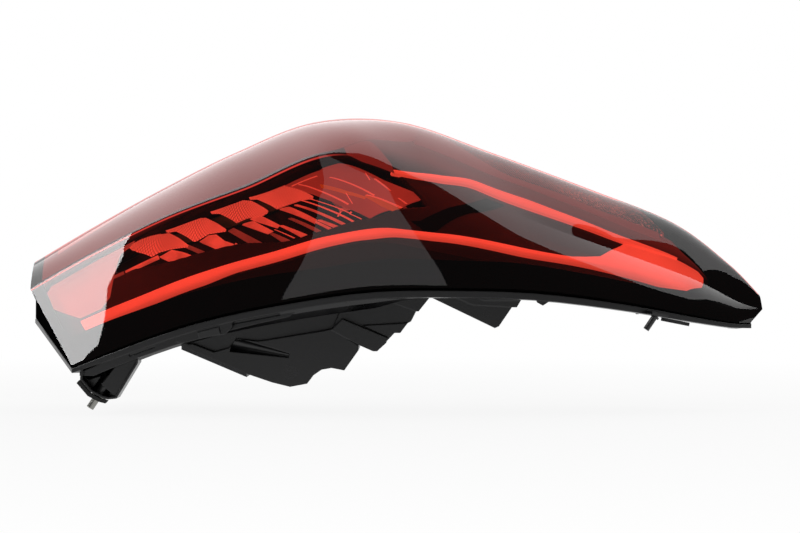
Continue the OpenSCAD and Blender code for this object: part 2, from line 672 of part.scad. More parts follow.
module inner_bezel() {
    g = t_share(1, 1, bezel_gap);
    stop_end = stop_start + (stop_cells - 1) * stop_pitch + cell_width;
    lines = [0.16, 0.3, guide_start - g, 0.8, 1.2, stop_start - g, 2, 2.4, 2.8, 3.2,
        stop_end + g, indicator_start - g, 4, 4.4, blade_start - g, indicator_end + g, 5.4,
        5.8, 6.15, patch_start - g, 6.9, 7.3, 7.7, 8.05, patch_end + 2 * g, 8.7, 9, 9.3];
    function lane(t, j) =
        let (gap = v_share(t, 1, bezel_gap))
        j == 1 ? 0.1
        : j == 2 ? guide_low(t) - gap
        : j == 3 ? guide_high(t) + gap
        : j <= 7 && t < patch_start - 2 * g
            ? mix(along(cell_low_line, t), along(cell_high_line, t), (j - 4) / 3)
        : j <= 7 ? mix(guide_high(t), blade_low(t), (j - 3) / 5)
        : j == 8 ? blade_low(t) - gap
        : j == 9 ? blade_high(t) + gap
        : j == 10 ? 1.95
        : j == 11 ? 2.5 : 2.85;
    foot_in = channel_in + 0.2;
    foot_gap = 0.5;
    function foot(t, rim_point, e) = rim_point(t, e, 0)
        + [0, 0, inner_lip_top * tip_fade(t) + foot_gap];
    function row(t, d, e) = concat(
        [foot(slanted(t, 0.1), function(a, b, c) near_rim(a, b, c), e)],
        [for (j = [1 : 12]) lane_point(t, lane(t, j), d)],
        [foot(t, function(a, b, c) far_rim(a, b, c), e)]);
    top = [for (t = lines) row(t, bezel_at(t), foot_in)];
    back = [for (t = lines) row(t, bezel_at(t) + bezel_wall, foot_in + inner_lip - 0.4)];
    function between(i, a, b) = lines[i] > a - 2 * g && lines[i] < b - g;
    function open(i, j) =
        j == 2 && between(i, guide_start, patch_end)
        || j >= 4 && j <= 6 && between(i, stop_start, stop_end)
        || j >= 4 && j <= 6 && between(i, indicator_start, indicator_end)
        || j == 8 && between(i, blade_start, patch_end)
        || j >= 3 && j <= 7 && between(i, patch_start, patch_end);
    color([0.2, 0.19, 0.2]) slab(top, back, function(i, j) !open(i, j));
}

// Light bar, end patch and upper blade, moulded in one piece
function guide_top(t) = bezel_at(t) - guide_proud;
function guide_back(t) = guide_top(t) + mix(guide_height, guide_height_tip, ease(5.5, 7.5, t));
module tail_light_guide() {
    lines = [guide_start, 0.8, 1.2, 1.6, 2, 2.4, 2.8, 3.2, 3.6, 4, 4.3, blade_start, 5, 5.4,
        5.8, 6.15, patch_start, 6.9, 7.3, 7.7, 8.05, patch_end];
    function lane(t, j) = j == 0 ? guide_low(t) : j == 1 ? guide_high(t)
        : j == 6 ? blade_low(t) : j == 7 ? blade_high(t)
        : mix(guide_high(t), blade_low(t), (j - 1) / 5);
    function grid(depth) = [for (t = lines) [for (j = [0 : 7]) lane_point(t, lane(t, j),
        depth(t))]];
    color([1, 0.25, 0.2]) slab(grid(function(t) guide_top(t)), grid(function(t) guide_back(t)),
        function(i, j) j == 0 || j == 6 && lines[i] >= blade_start
            || lines[i] >= patch_start);
}

// Narrow light strip that rests on the bezel above the crease
strip_start = 0.3;
strip_end = 2.28;
strip_top = 1.9;
module upper_light_strip() {
    function low_edge(t) = mix(1.45, 1.8, (t - strip_start) / 2);
    lines = [for (i = [0 : 6]) mix(strip_start, strip_end, i / 6)];
    function grid(d) = [for (t = lines) [for (v = [low_edge(t), strip_top])
        lane_point(t, v, d)]];
    color([1, 0.3, 0.28]) slab(grid(bezel_depth - 4), grid(bezel_depth - bezel_gap));
}

// Levels behind the bezel
seat_gap = 0.7;
rim_level = bezel_depth + bezel_wall + seat_gap;
shelf_level = rim_level + optic_wall + bezel_gap;
board_level = shelf_level + cell_wall + seat_gap;
wall_t = 0.03;
wall_v = 0.02;

// Row of reflector bowls. rows holds a place across the section, a depth and the way the wall
// leans behind it
module bowls(starts, width, rows, hole_from, hole_to) {
    draft = wall_t;
    cell_lines = [[0, 0, -1], [draft, 1, -1], [0.22 * width, 1, 0], [0.78 * width, 1, 0],
        [width - draft, 1, 1], [width, 0, 1]];
    lines = concat([[starts[0] - 1.5 * wall_t, 0, 0]],
        [for (s = starts) each [for (q = cell_lines) [s + q[0], q[1], q[2]]]],
        [[starts[len(starts) - 1] + width + 1.5 * wall_t, 0, 0]]);
    upper = [for (q = lines) [for (r = rows)
        lane_point(q[0], r[0], q[1] == 1 ? r[1] : rows[0][1])]];
    lower = [for (q = lines) [for (r = rows)
        lane_point(q[0] + q[2] * wall_t, r[0] + r[2] * wall_v,
            (q[1] == 1 ? r[1] : rows[0][1]) + cell_wall)]];
    slab(upper, lower, function(i, j)
        !(lines[i][1] == 1 && lines[i][2] == 0 && lines[i + 1][2] == 0
            && rows[j][0] >= hole_from && rows[j][0] < hole_to));
}

stop_starts = [for (k = [0 : stop_cells - 1]) stop_start + k * stop_pitch];
shelf_low = 0.83;
shelf_high = 1.14;
led_low = 0.92;
led_high = 1.06;
module stop_reflector() {
    deep = function(n) shelf_level + n * shelf_step;
    rows = [[0.56, rim_level, -1], [0.58, deep(4), -1], [0.64, deep(4), 0],
        [0.66, deep(3), -1], [0.7, deep(3), 0], [0.72, deep(2), -1], [0.76, deep(2), 0],
        [0.78, deep(1), -1], [0.81, deep(1), 0], [shelf_low, shelf_level, -1],
        [led_low, shelf_level, 0], [led_high, shelf_level, 0], [shelf_high, shelf_level, 0],
        [shelf_high + 0.02, rim_level, 1]];
    color([0.75, 0.2, 0.18]) bowls(stop_starts, cell_width, rows, led_low, led_high);
}

// Textured plates that the stop cells shine through
optic_margin = 1.6 * wall_t;
module optic_plate(start) {
    lines = [for (f = [0, 0.5, 1]) start + optic_margin + f * (cell_width - 2 * optic_margin)];
    rows = [shelf_low + 0.02, led_low, 1, led_high, shelf_high - 0.02];
    function grid(d) = [for (t = lines) [for (v = rows) lane_point(t, v, d)]];
    slab(grid(rim_level), grid(rim_level + optic_wall));
}
module stop_optics() {
    color([1, 0.35, 0.3]) for (s = stop_starts) optic_plate(s);
}

// Board that follows the back of a reflector
module board(from, to, rows, level, steps = 6) {
    lines = [for (i = [0 : steps]) mix(from, to, i / steps)];
    function grid(d) = [for (t = lines) [for (v = rows) lane_point(t, v, d)]];
    slab(grid(level), grid(level + board_wall));
}

// Package set on the surface at a depth, square to it
module on_surface(t, v, d) {
    q = slanted(t, v);
    n = skin_normal(q, v);
    along_x = skin(q + 0.05, v) - skin(q - 0.05, v);
    y = cross(n, along_x);
    b = y / norm(y);
    a = cross(b, n);
    p = lane_point(t, v, d);
    multmatrix([[a.x, b.x, n.x, p.x], [a.y, b.y, n.y, p.y], [a.z, b.z, n.z, p.z]])
        children();
}
led_skim = 0.3;
module led(t, v, level) {
    on_surface(t, v, level - led_skim) translate([0, 0, (led_height - led_skim) / 2])
        cube([led_side, led_side, led_height - led_skim], center = true);
}

module stop_board() {
    color([0.1, 0.35, 0.18]) board(stop_starts[0], stop_starts[stop_cells - 1] + cell_width,
        [shelf_low + 0.02, led_low, led_high, shelf_high - 0.02], board_level, 10);
}
module stop_leds() {
    color([0.95, 0.9, 0.6]) for (s = stop_starts)
        led(s + cell_width / 2, (led_low + led_high) / 2, board_level);
}

indicator_cells = 3;
indicator_pitch = (indicator_end - indicator_start) / indicator_cells;
indicator_starts = [for (k = [0 : indicator_cells - 1])
    indicator_start + wall_t + k * indicator_pitch];
indicator_low = 0.66;
indicator_high = 1;
indicator_led_low = 0.78;
indicator_led_high = 0.9;
bowl_level = shelf_level + 2 * shelf_step;
module indicator_reflector() {
    rows = [[indicator_low, shelf_level, -1], [indicator_low + 0.03, bowl_level, -1],
        [indicator_led_low, bowl_level, 0], [indicator_led_high, bowl_level, 0],
        [indicator_high - 0.03, bowl_level, 1], [indicator_high, shelf_level, 1]];
    color([0.85, 0.85, 0.86]) bowls(indicator_starts, indicator_pitch - 2 * wall_t, rows,
        indicator_led_low, indicator_led_high);
}
module indicator_inner_lens() {
    lines = [for (i = [0 : 6]) mix(indicator_start, indicator_end, i / 6)];
    function grid(d) = [for (t = lines) [for (v = [indicator_low, 0.8, 0.9, indicator_high])
        lane_point(t, v, d)]];
    color([1, 0.45, 0.1]) slab(grid(rim_level), grid(rim_level + optic_wall));
}
indicator_board_level = bowl_level + cell_wall + seat_gap;
module indicator_board() {
    color([0.1, 0.35, 0.18]) board(indicator_starts[0],
        indicator_starts[indicator_cells - 1] + indicator_pitch - 2 * wall_t,
        [indicator_led_low - 0.05, indicator_led_low, indicator_led_high,
            indicator_led_high + 0.05], indicator_board_level);
}
module indicator_leds() {
    color([0.95, 0.9, 0.6]) for (s = indicator_starts)
        led(s + indicator_pitch / 2 - wall_t, (indicator_led_low + indicator_led_high) / 2,
            indicator_board_level);
}

// Strip board with a row of diodes behind the light bar
tail_led_count = 20;
function tail_led_at(k) = mix(guide_start + 0.2, patch_end - 0.45, k / (tail_led_count - 1));
module tail_board() {
    lines = concat([guide_start + 0.05], [for (k = [0 : tail_led_count - 1]) tail_led_at(k)],
        [patch_end - 0.3]);
    function grid(lift) = [for (t = lines) [for (v = [guide_low(t), guide_high(t)])
        lane_point(t, v, guide_back(t) + lift)]];
    lift = seat_gap + led_height;
    color([0.1, 0.35, 0.18]) slab(grid(lift), grid(lift + board_wall));
}
module tail_leds() {
    color([0.95, 0.9, 0.6]) for (k = [0 : tail_led_count - 1]) {
        t = tail_led_at(k);
        led(t, (guide_low(t) + guide_high(t)) / 2, guide_back(t) + seat_gap + led_height);
    }
}

// Finned aluminium plate behind the stop lamp board
fin_count = 8;
fin_height = 8;
sink_base = 3;
module heat_sink() {
    start = stop_starts[0] + 0.1;
    pitch = (stop_starts[stop_cells - 1] + cell_width - 0.1 - start) / (2 * fin_count - 1);
    edge = 0.006;
    lines = [for (k = [0 : 2 * fin_count - 2])
        each [[start + k * pitch + edge, k % 2], [start + (k + 1) * pitch - edge, k % 2]]];
    level = board_level + board_wall + seat_gap;
    rows = [0.87, 0.94, 1.02, 1.1];
    upper = [for (q = lines) [for (v = rows) lane_point(q[0], v, level)]];
    lower = [for (q = lines) [for (v = rows)
        lane_point(q[0], v, level + sink_base + (q[1] == 0 ? fin_height : 0))]];
    color([0.7, 0.7, 0.72]) slab(upper, lower);
}

// Reflex reflector behind the lens near the crest
reflex_wall = 3;
reflex_gap = 0.7;
reflex_start = 5.3;
reflex_end = 7.85;
reflex_top = 2.35;
module reflex_reflector() {
    line = [1.93, 1.93, 1.93, 1.93, 1.93, 1.95, 1.58, 1.5, 1.5, 1.5, 1.5];
    lines = [for (i = [0 : 8]) mix(reflex_start, reflex_end, i / 8)];
    function grid(d) = [for (t = lines) [for (f = [0, 0.25, 0.5, 0.75, 1])
        under(t, mix(along(line, t), reflex_top, f), d)]];
    color([0.7, 0.08, 0.1]) slab(grid(lens_wall + reflex_gap),
        grid(lens_wall + reflex_gap + reflex_wall));
}

// Board of the driver, with its parts and screws
screw_d = 2.9;
screw_head_d = 5.6;
screw_head = 2;
screw_length = 7;
module driver_board() {
    color([0.1, 0.35, 0.18]) difference() {
        translate(driver_at + [0, 0, board_wall / 2])
            cube([driver_length, driver_width, board_wall], center = true);
        driver_corners() translate([0, 0, -1])
            cylinder(d = driver_hole_d, h = board_wall + 2, $fn = 32);
    }
}
// Chip, coil and plug on the driver board, and a row of round cans
chip = [10, 10, 1.5];
coil = [9, 9, 5];
plug = [20, 6, 7];
can_d = 6;
can_height = 7;
can_pitch = 8;
module on_board(size, x, y) {
    translate(driver_at + [x, y, board_wall + size.z / 2]) cube(size, center = true);
}
module driver_parts() {
    color([0.1, 0.1, 0.1]) on_board(chip, -12, 2);
    color([0.3, 0.3, 0.32]) on_board(coil, 6, 3);
    color([0.85, 0.85, 0.85]) on_board(plug, 0, plug.y - 1 - driver_width / 2);
    color([0.6, 0.6, 0.62]) for (k = [-1, 0, 1])
        translate(driver_at + [19, can_pitch * k, board_wall])
            cylinder(d = can_d, h = can_height, $fn = 32);
}
module driver_screws() {
    color([0.75, 0.75, 0.76]) driver_corners() {
        translate([0, 0, board_wall]) cylinder(d = screw_head_d, h = screw_head, $fn = 32);
        translate([0, 0, -screw_length])
            cylinder(d = screw_d, h = screw_length + board_wall, $fn = 32);
    }
}

// Connector socket on its pad, open downwards
module socket_block(grow, h) {
    translate([0, 0, -h / 2])
        cube([socket_length + 2 * grow, socket_width + 2 * grow, h], center = true);
}
gasket_wall = 4;
gasket_height = 2;
module connector_socket() {
    color([0.12, 0.12, 0.12]) translate(socket_at) difference() {
        union() {
            socket_block(socket_flange, socket_seat_height);
            socket_block(0, socket_depth);
        }
        translate([0, 0, -socket_seat_height]) socket_block(-socket_wall, socket_depth);
    }
}
terminal_side = 0.8;
terminal_length = 12;
terminal_pitch = 3.2;
terminal_row = 3;
module connector_terminals() {
    color([0.8, 0.7, 0.4]) translate(socket_at - [0, 0, socket_seat_height])
        for (k = [0 : terminal_count - 1], y = [-1, 1])
            translate([(k - (terminal_count - 1) / 2) * terminal_pitch, terminal_row * y,
                -terminal_length / 2])
                cube([terminal_side, terminal_side, terminal_length], center = true);
}
module connector_gasket() {
    color([0.2, 0.2, 0.2]) translate(socket_at - [0, 0, socket_seat_height])
        difference() {
            socket_block(gasket_wall, gasket_height);
            translate([0, 0, 1]) socket_block(bezel_gap, gasket_height + 2);
        }
}

module vent_caps() {
    color([0.1, 0.1, 0.1]) vents() translate([0, 0, -vent_stem - 2]) difference() {
        cylinder(d = vent_cap_d, h = vent_cap_height, $fn = 48);
        translate([0, 0, 2]) cylinder(d = vent_stem_d + 2 * press_gap, h = vent_cap_height,
            $fn = 48);
    }
}

module main_stud() {
    color([0.72, 0.72, 0.7]) stud(stud_d, stud_length, collar_d);
}
module end_stud() {
    color([0.62, 0.6, 0.5]) translate(end_seat) stud(end_stud_d, end_stud_length,
        end_collar_d);
}
pin_collar = 1.5;
module tip_pin() {
    color([0.2, 0.2, 0.2]) translate(pin_seat) leaning() {
        translate([0, 0, -pin_length]) cylinder(d = pin_d, h = pin_length + 1, $fn = 32);
        translate([0, 0, -pin_collar]) cylinder(d = pin_collar_d, h = pin_collar, $fn = 32);
    }
}

// Soft lip around the near edge of the inner end bracket
skirt_wall = 2.4;
skirt_depth = 6;
skirt_line = side([[-130.5, -19.6], [-123.25, -28.05], [-116, -31.9], [-111.7, -33]]);
skirt_out = [-0.66, -0.75] * skirt_wall;
module end_skirt() {
    color([0.06, 0.06, 0.06])
        translate([0, bracket_near * scale_up.y + skirt_depth, 0]) rotate([90, 0, 0])
            linear_extrude(skirt_depth) polygon([for (p = skirt_line) p,
                for (k = [3 : -1 : 0]) skirt_line[k] + skirt_out]);
}

// Soft pad under the rim near the tip
pad_length = 20;
pad_width = 6;
pad_wall = 2.4;
pad_round = 2;
pad_inset = 2.7;
pad_gap = 0.5;
pad_station = 7.75;
module rest_pad() {
    color([0.08, 0.08, 0.08])
        on_rim(pad_station, pad_inset,
            flange_bottom * tip_fade(pad_station) - pad_wall - pad_gap)
            linear_extrude(pad_wall) offset(r = pad_round)
                square([pad_length, pad_width] - 2 * [pad_round, pad_round], center = true);
}

// Plate along the slope of the main pocket
plate_wall = 2.4;
plate_gap = 0.2;
plate_near = -92;
plate_far = -38;
plate_line = side([[-64, 2.9], [-21, -15.3]]);
module mount_plate() {
    color([0.3, 0.3, 0.31]) across([for (p = plate_line) p - [0, plate_gap],
        for (k = [1, 0]) plate_line[k] - [0, plate_gap + plate_wall]],
        plate_near * scale_up.y, plate_far * scale_up.y);
}

outer_lens();
lens_seal();
housing();
inner_bezel();
tail_light_guide();
upper_light_strip();
stop_reflector();
stop_optics();
stop_board();
stop_leds();
indicator_reflector();
indicator_inner_lens();
indicator_board();
indicator_leds();
tail_board();
tail_leds();
heat_sink();
reflex_reflector();
driver_board();
driver_parts();
driver_screws();
connector_socket();
connector_terminals();
connector_gasket();
vent_caps();
main_stud();
end_stud();
tip_pin();
end_skirt();
rest_pad();
mount_plate();
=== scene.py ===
import math

import bpy
import numpy as np
from mathutils import Matrix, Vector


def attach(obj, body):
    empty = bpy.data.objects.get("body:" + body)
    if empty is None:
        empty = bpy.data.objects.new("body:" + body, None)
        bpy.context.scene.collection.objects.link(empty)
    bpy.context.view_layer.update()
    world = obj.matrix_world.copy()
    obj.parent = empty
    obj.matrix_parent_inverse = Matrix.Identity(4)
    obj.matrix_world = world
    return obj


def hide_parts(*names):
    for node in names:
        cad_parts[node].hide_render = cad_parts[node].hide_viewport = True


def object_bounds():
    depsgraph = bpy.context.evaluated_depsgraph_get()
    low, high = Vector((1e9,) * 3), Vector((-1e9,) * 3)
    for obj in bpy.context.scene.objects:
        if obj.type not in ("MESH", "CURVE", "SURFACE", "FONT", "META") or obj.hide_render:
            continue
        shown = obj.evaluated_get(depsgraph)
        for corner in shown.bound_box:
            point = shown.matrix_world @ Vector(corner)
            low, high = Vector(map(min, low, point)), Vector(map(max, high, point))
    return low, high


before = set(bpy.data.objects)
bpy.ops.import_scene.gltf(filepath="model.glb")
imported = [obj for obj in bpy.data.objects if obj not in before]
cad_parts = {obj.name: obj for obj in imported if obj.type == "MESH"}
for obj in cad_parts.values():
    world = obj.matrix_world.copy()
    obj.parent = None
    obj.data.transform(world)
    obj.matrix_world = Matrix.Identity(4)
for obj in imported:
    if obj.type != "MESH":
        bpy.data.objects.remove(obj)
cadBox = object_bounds()
scene = bpy.context.scene
print("frame loaded")

# the lens surface: eleven stations along the lamp, in mm, for its near edge, crease, crest and far edge
nearEdge = np.array([[-135, -97, -11], [-93, -105, 6], [-47, -111, 21], [5, -115, 32],
                     [61, -116, 40], [116, -113, 41], [171, -106, 39], [225, -95, 32],
                     [273, -79, 23], [301, -65, 18], [317, -54, 17]], float)
creaseLine = np.array([[-169, -59, 40], [-128, -64, 63], [-77, -69, 88], [-24, -72, 108],
                       [37, -73, 131], [101, -75, 113], [167, -73, 86], [226, -69, 65],
                       [276, -61, 47], [309, -53, 31], [326, -48, 26]], float)
crestLine = np.array([[-172, -23, 58], [-134, -20, 81], [-86, -17, 108], [-34, -15, 134],
                      [21, -15, 155], [80, -17, 155], [142, -21, 134], [211, -27, 108],
                      [267, -33, 85], [304, -39, 57], [324, -43, 36]], float)
farEdge = np.array([[-178, 17, 19], [-137, 23, 38], [-88, 28, 63], [-33, 31, 87],
                    [24, 31, 104], [86, 28, 104], [147, 20, 87], [214, 8, 63],
                    [270, -8, 42], [304, -24, 26], [319, -36, 21]], float)
last = len(nearEdge) - 1
farRow = 3  # v of the far edge

# stations between which the crease fades and comes back, the swell below it, and how the
# surface leans as it leaves the crease and as it falls to the far edge
skinSettings = {"creaseFades": (3.7, 4.5), "creaseReturns": (5.7, 7), "swell": 9,
                "swellWay": (0, -1, 0.6), "swellEnds": (-0.6, last + 0.2), "swellRun": 2,
                "creaseLean": (1, 0.9, 1.5), "fallLean": (1, 0.8, 1.5)}


def along(line, t):
    # Catmull-Rom curve through the stations of a line
    i = np.clip(np.floor(t).astype(int), 0, last - 1)
    f = (t - i)[..., None]
    a, b = line[np.maximum(i - 1, 0)], line[i]
    c, d = line[i + 1], line[np.minimum(i + 2, last)]
    return 0.5 * (2 * b + (c - a) * f + (2 * a - 5 * b + 4 * c - d) * f ** 2
                  + (3 * b - a - 3 * c + d) * f ** 3)


def ease(a, b, x):
    # smooth step from 0 at a to 1 at b
    u = np.clip((x - a) / (b - a), 0, 1)
    return u * u * (3 - 2 * u)


def mix(a, b, f):
    # a where f is 0, b where f is 1
    return a + (b - a) * f


def hermite(p, m, q, n, f):
    # cubic from p to q with end slopes m and n
    return ((2 * f ** 3 - 3 * f ** 2 + 1) * p + (f ** 3 - 2 * f ** 2 + f) * m
            + (3 * f ** 2 - 2 * f ** 3) * q + (f ** 3 - f ** 2) * n)


def skin(t, v, s=skinSettings):
    # outside of the lens: v is 0 at the near edge, 1 at the crease, 2 at the crest, 3 at the far edge
    t, v = np.broadcast_arrays(np.asarray(t, float), np.asarray(v, float))
    p0, p1 = along(nearEdge, t), along(creaseLine, t)
    p2, p3 = along(crestLine, t), along(farEdge, t)
    sharp = (1 - ease(*s["creaseFades"], t) + ease(*s["creaseReturns"], t))[..., None]
    first, end = s["swellEnds"]
    swell = (s["swell"] * np.minimum(1, (t - first) / s["swellRun"])
             * np.minimum(1, (end - t) / s["swellRun"]))[..., None] * np.array(s["swellWay"])
    soft = (p2 - p0) / 2
    into = sharp * (p1 - p0 - swell) + (1 - sharp) * soft
    out = sharp * (p2 - p1) * s["creaseLean"] + (1 - sharp) * soft
    top = (p3 - p1) / 2 * [1, 1, 0]  # level at the crest
    fall = (p3 - p2) * s["fallLean"]
    w = v[..., None]
    low = hermite(p0, p1 - p0 + swell, p1, into, w)
    mid = hermite(p1, out, p2, top, w - 1)
    high = hermite(p2, top, p3, fall, w - 2)
    return np.where(w < 1, low, np.where(w < 2, mid, high))


def skinNormal(t, v, dt=0.02, dv=0.12):
    # unit normal of the skin, from its change over dt stations and dv rows to each side
    t, v = np.broadcast_arrays(np.asarray(t, float), np.asarray(v, float))
    a = skin(np.minimum(t + dt, last), v) - skin(np.maximum(t - dt, 0), v)
    b = skin(t, np.minimum(v + dv, farRow)) - skin(t, np.maximum(v - dv, 0))
    n = np.cross(a, b)
    return n / np.maximum(np.linalg.norm(n, axis=-1, keepdims=True), 1e-9)


def under(t, v, d):
    # point at depth d below the outside of the lens
    return skin(t, v) - np.asarray(d, float)[..., None] * skinNormal(t, v)


def curve(points, x):
    # smooth curve through given points, with slopes that never overshoot
    p = np.array(points, float)
    xs, ys = p[:, 0], p[:, 1]
    h = np.diff(xs)
    s = np.diff(ys) / h
    m = np.empty(len(xs))
    m[0], m[-1] = s[0], s[-1]
    m[1:-1] = np.where(s[:-1] * s[1:] > 0, 2 * s[:-1] * s[1:] / (s[:-1] + s[1:] + 1e-12), 0)
    x = np.clip(x, xs[0], xs[-1])
    i = np.clip(np.searchsorted(xs, x) - 1, 0, len(h) - 1)
    f = (x - xs[i]) / h[i]
    return hermite(ys[i], m[i] * h[i], ys[i + 1], m[i + 1] * h[i], f)


def grid(steps, rows, ts, vs=(0, 1)):
    # two parameters on a grid, the first over ts and the second over vs
    return np.meshgrid(np.linspace(*ts, steps), np.linspace(*vs, rows), indexing="ij")


def crown(f, power):
    # 1 in the middle of a width, 0 at its sides; a higher power keeps it flat for longer
    return 1 - np.abs(2 * f - 1) ** power


def addMesh(name, verts, faces):
    # smooth object from points in mm, on the one body of the lamp
    mesh = bpy.data.meshes.new(name)
    mesh.from_pydata((np.reshape(verts, (-1, 3)) * 0.001).tolist(), [], faces)
    mesh.update()
    mesh.polygons.foreach_set("use_smooth", [True] * len(mesh.polygons))
    obj = bpy.data.objects.new(name, mesh)
    scene.collection.objects.link(obj)
    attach(obj, "root")
    return obj


def addSurface(name, verts, quads, uv, sharpAngle):
    # the same with a map named flat for its patterns, and edges sharp past an angle
    obj = addMesh(name, verts, quads.tolist())
    layer = obj.data.uv_layers.new(name="flat")
    corner = np.empty(len(obj.data.loops), int)
    obj.data.loops.foreach_get("vertex_index", corner)
    layer.data.foreach_set("uv", uv[corner].ravel().astype(float))
    obj.data.set_sharp_from_angle(angle=math.radians(sharpAngle))
    return obj


def gridQuads(na, nb, base=0, flip=False):
    # quads between the neighbours of an na by nb grid whose points are counted from base
    i, j = np.meshgrid(np.arange(na - 1), np.arange(nb - 1), indexing="ij")
    a = base + i * nb + j
    quads = np.stack([a, a + nb, a + nb + 1, a + 1], -1).reshape(-1, 4)
    return quads[:, ::-1] if flip else quads


def border(na, nb):
    # the grid's outermost points, once round
    g = np.arange(na * nb).reshape(na, nb)
    return np.concatenate([g[:-1, 0], g[-1, :-1], g[:0:-1, -1], g[0, :0:-1]])


def shellData(upper, lower, uv, rings=()):
    # closed piece between an upper and a lower grid, with rings of points between their borders
    na, nb = upper.shape[:2]
    loop = border(na, nb)
    count = len(loop)
    between = [2 * na * nb + k * count + np.arange(count) for k in range(len(rings))]
    loops = [loop] + between + [loop + na * nb]
    quads = [gridQuads(na, nb), gridQuads(na, nb, na * nb, True)]
    for a, b in zip(loops, loops[1:]):
        quads.append(np.stack([a, b, np.roll(b, -1), np.roll(a, -1)], -1))
    verts = [upper.reshape(-1, 3), lower.reshape(-1, 3), *rings]
    flat = uv.reshape(-1, 2)
    flat = np.concatenate([flat, flat] + [flat[loop]] * len(rings))
    return np.concatenate(verts), np.concatenate(quads), flat


def shell(name, upper, lower, uv, sharpAngle, rings=()):
    return addSurface(name, *shellData(upper, lower, uv, rings), sharpAngle)


def lengths(points):
    # distance in mm along each way of a grid, for patterns of real size
    du = np.linalg.norm(np.diff(points, axis=0), axis=-1).mean(1)
    dv = np.linalg.norm(np.diff(points, axis=1), axis=-1).mean(0)
    u = np.concatenate([[0], np.cumsum(du)])
    v = np.concatenate([[0], np.cumsum(dv)])
    return np.stack(np.broadcast_arrays(u[:, None], v[None, :]), -1)


def linear(hexColor):
    # linear colour of an sRGB hex value
    c = [int(hexColor[k:k + 2], 16) / 255 for k in (1, 3, 5)]
    return tuple(x / 12.92 if x <= 0.04045 else ((x + 0.055) / 1.055) ** 2.4 for x in c) + (1.0,)


def grey(level):
    return (level, level, level, 1.0)


def newMaterial(name):
    mat = bpy.data.materials.new(name)
    mat.use_nodes = True
    mat.node_tree.nodes.clear()
    return mat, mat.node_tree


def add(tree, kind, settings=None, inputs=None, stops=()):
    # adds a shader node: an input is a value, a socket, or a node whose first socket in use is
    # linked, and stops are the places and colours of a colour ramp
    node = tree.nodes.new("ShaderNode" + kind)
    for key, value in (settings or {}).items():
        setattr(node, key, value)
    for key, value in (inputs or {}).items():
        if isinstance(value, bpy.types.Node):
            value = next(socket for socket in value.outputs if socket.enabled)
        if isinstance(value, bpy.types.NodeSocket):
            tree.links.new(value, node.inputs[key])
        else:
            node.inputs[key].default_value = value
    for k, (place, color) in enumerate(stops):
        elements = node.color_ramp.elements
        element = elements[k] if k < 2 else elements.new(place)
        element.position = place
        element.color = color
    return node


# node settings that many materials share
multiply = {"operation": "MULTIPLY"}
multiplyAdd = {"operation": "MULTIPLY_ADD"}
subtract = {"operation": "SUBTRACT"}
maximum = {"operation": "MAXIMUM"}
sine = {"operation": "SINE"}
blended = {"data_type": "RGBA"}
tinted = {"data_type": "RGBA", "blend_type": "MULTIPLY"}


def flatParts(tree):
    # the two ways of a piece's own map
    uv = add(tree, "UVMap", {"uv_map": "flat"})
    parts = add(tree, "SeparateXYZ", inputs={0: uv}).outputs
    return parts["X"], parts["Y"]


def band(tree, value, low, high, soft):
    # 1 between low and high, with soft edges
    up = add(tree, "MapRange", inputs={"Value": value, "From Min": low, "From Max": low + soft})
    down = add(tree, "MapRange", inputs={
        "Value": value, "From Min": high - soft, "From Max": high, "To Min": 1.0, "To Max": 0.0})
    return add(tree, "Math", multiply, {0: up, 1: down})


plasticUsual = {"cloud": 30, "spread": 0.08, "grainDepth": 0.0002, "round": 0, "metal": 0.0,
                "specular": 0.5}


def plasticMaterial(name, changes):
    # moulded plastic, rubber or metal: cloudy base colour, grain bump and uneven gloss, and with
    # "round" edges that catch the light
    s = {**plasticUsual, **changes}
    mat, tree = newMaterial(name)
    place = add(tree, "TexCoord").outputs["Object"]
    cloud = add(tree, "TexNoise", inputs={"Vector": place, "Scale": s["cloud"], "Detail": 3})
    grain = add(tree, "TexNoise", inputs={"Vector": place, "Scale": s["grain"]})
    color = add(tree, "ValToRGB", inputs={"Fac": cloud},
                stops=[(0.3, linear(s["dark"])), (0.7, linear(s["light"]))])
    rough = add(tree, "Math", multiplyAdd, {0: cloud, 1: s["spread"], 2: s["rough"]})
    normal = add(tree, "Bump", inputs={
        "Strength": s["bump"], "Distance": s["grainDepth"], "Height": grain})
    if s["round"]:
        normal = add(tree, "Bevel", {"samples": 6},
                     {"Radius": s["round"], "Normal": normal})
    body = add(tree, "BsdfPrincipled", inputs={
        "Base Color": color, "Metallic": s["metal"], "Roughness": rough,
        "Specular IOR Level": s["specular"], "Normal": normal})
    add(tree, "OutputMaterial", inputs={"Surface": body})
    return mat


glowUsual = {"cloud": 25, "deep": 0.88, "rough": 0.45, "specular": 0.3}


